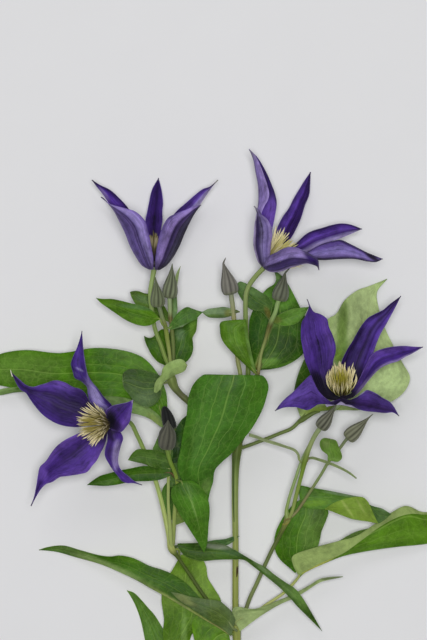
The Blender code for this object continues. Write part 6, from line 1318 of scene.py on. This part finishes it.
leaf("leaf_right_folded",  # leaf of the upper right node, tip turned down
     blade_rows([(301.5, 503), (299.5, 497), (300, 486), (310, 487.5), (325, 490), (340, 493), (355, 496), (363, 497.3)],
                [(303.5, 507), (310, 508.5), (325, 509), (332, 506), (345, 502), (355, 499.5), (361, 498.0), (363, 497.3)],
                ([20.8, 20.5, 20, 20, 21], [21.5, 21.5, 22, 22.2, 21.6], [21, 21.6, 22.4, 22.6, 22])),
     blade_rows([(325, 509), (331, 504.5), (339, 500.8), (348, 498), (358, 496.7), (364, 497.8), (368, 501.8), (370.5, 507), (374, 515), (378, 523)],
                [(325, 509), (332, 511.4), (340, 514.6), (352, 519), (360, 520.4), (368, 521.5), (374, 522.8), (378, 523)],
                ([22.4, 22.8, 22.6, 22.2, 22.4], [22.4, 23.4, 23.4, 23, 22.4], [22.4, 22, 21.6, 21.8, 22.4])),
     blade_rows([(366, 500.5), (369.5, 504.5), (374, 506.5), (382, 508.5), (391, 514)],
                [(366.5, 502), (370, 509), (374, 517), (378, 523.2), (385, 519.5), (391, 514)],
                ([21.6, 21.2, 21, 21.4, 22], [21.6, 21.8, 21.8, 21.6, 22], [21.6, 21.8, 21.8, 21.8, 22])))
leaf("leaf_heart",      # small heart-shaped leaf on the stalk of bud 6
     blade_rows([(327.5, 459.5), (327.5, 455), (322, 450.5), (319.7, 445), (320.5, 440.5), (324, 438), (330, 439)],
                [(332, 461), (338, 461.8), (342, 458), (341, 452), (338.5, 446), (336, 440.5), (330, 439)],
                ([36, 37, 38, 38.5, 38], [36, 36, 36.5, 37.5, 38], [36, 37, 38, 38.5, 38])))
leaf("leaf_pair_11",    # two thread-like bracts at the node of bud 5
     blade_rows([(300.5, 460), (299.8, 455), (296, 449.5), (286, 445.5), (276, 442), (266, 439), (257, 435.5), (249, 433)],
                [(298, 460), (297.5, 456), (294, 451.5), (285, 448), (275, 445), (265, 442), (256, 438.5), (249, 436.5)],
                ([33.6, 32, 30, 27, 24, 22.4], [33.6, 32, 30, 27, 24, 22.4], [33.6, 32, 30, 27, 24, 22.4])),
     blade_rows([(307.5, 457.5), (312, 456.5), (321, 458.8), (331, 462.3), (341, 466.8), (350, 472), (357, 478)],
                [(307.5, 460), (312, 459.3), (320, 461.5), (330, 465), (340, 469.2), (349, 474), (356, 479)],
                ([33.6, 34, 35, 36, 36, 35], [33.6, 34, 35, 36, 36, 35], [33.6, 34, 35, 36, 36, 35])))


# ---------------------------------------------------------------- surface, light and camera
def level(name, x, y, z, size, mat):
    me = bpy.data.meshes.new(name)
    h = size / 2
    me.from_pydata([(x - h, y - h, z), (x + h, y - h, z), (x + h, y + h, z), (x - h, y + h, z)], [], [(0, 1, 2, 3)])
    me.materials.append(mat)
    ob = bpy.data.objects.new(name, me)
    bpy.context.scene.collection.objects.link(ob)
    return ob


g = Mat("pale_floor")
co = g.node("ShaderNodeTexCoord").outputs["Object"]
g.put(g.b.inputs["Base Color"], g.gain((0.80, 0.80, 0.81), g.math('MULTIPLY_ADD', g.noise(co, 30.0, 3), 0.02, 0.99)))
g.b.inputs["Roughness"].default_value = 0.85
g.b.inputs["Specular IOR Level"].default_value = 0.1
level("floor", 0, 0, 0.0, 9.0, g.m)

world = bpy.data.worlds.new("studio")
bpy.context.scene.world = world
world.use_nodes = True
world.node_tree.nodes["Background"].inputs[0].default_value = (1.0, 1.0, 1.02, 1)
world.node_tree.nodes["Background"].inputs[1].default_value = 0.178


def area(name, at, aim, size, power):
    d = bpy.data.lights.new(name, 'AREA')
    d.shape, d.size, d.energy = 'DISK', size, power
    o = bpy.data.objects.new(name, d)
    o.location = at
    o.rotation_euler = (Vector(aim) - Vector(at)).to_track_quat('-Z', 'Y').to_euler()
    bpy.context.scene.collection.objects.link(o)


area("key", (-0.45, 1.7, 2.3), (0, 0.05, 0.03), 1.5, 9.0)
area("top", (0.03, 0.12, 2.7), (0, 0.08, 0.03), 0.6, 44.6)

cam = bpy.data.cameras.new("camera")
cam.sensor_width, cam.lens = 36.0, 193.97
cam.clip_start, cam.clip_end = 0.1, 20.0
eye = bpy.data.objects.new("camera", cam)
eye.location = (-SHIFT[0], -SHIFT[1], EYE + EYE_REF)
bpy.context.scene.collection.objects.link(eye)
bpy.context.scene.camera = eye
bpy.context.scene.view_settings.view_transform = 'Standard'
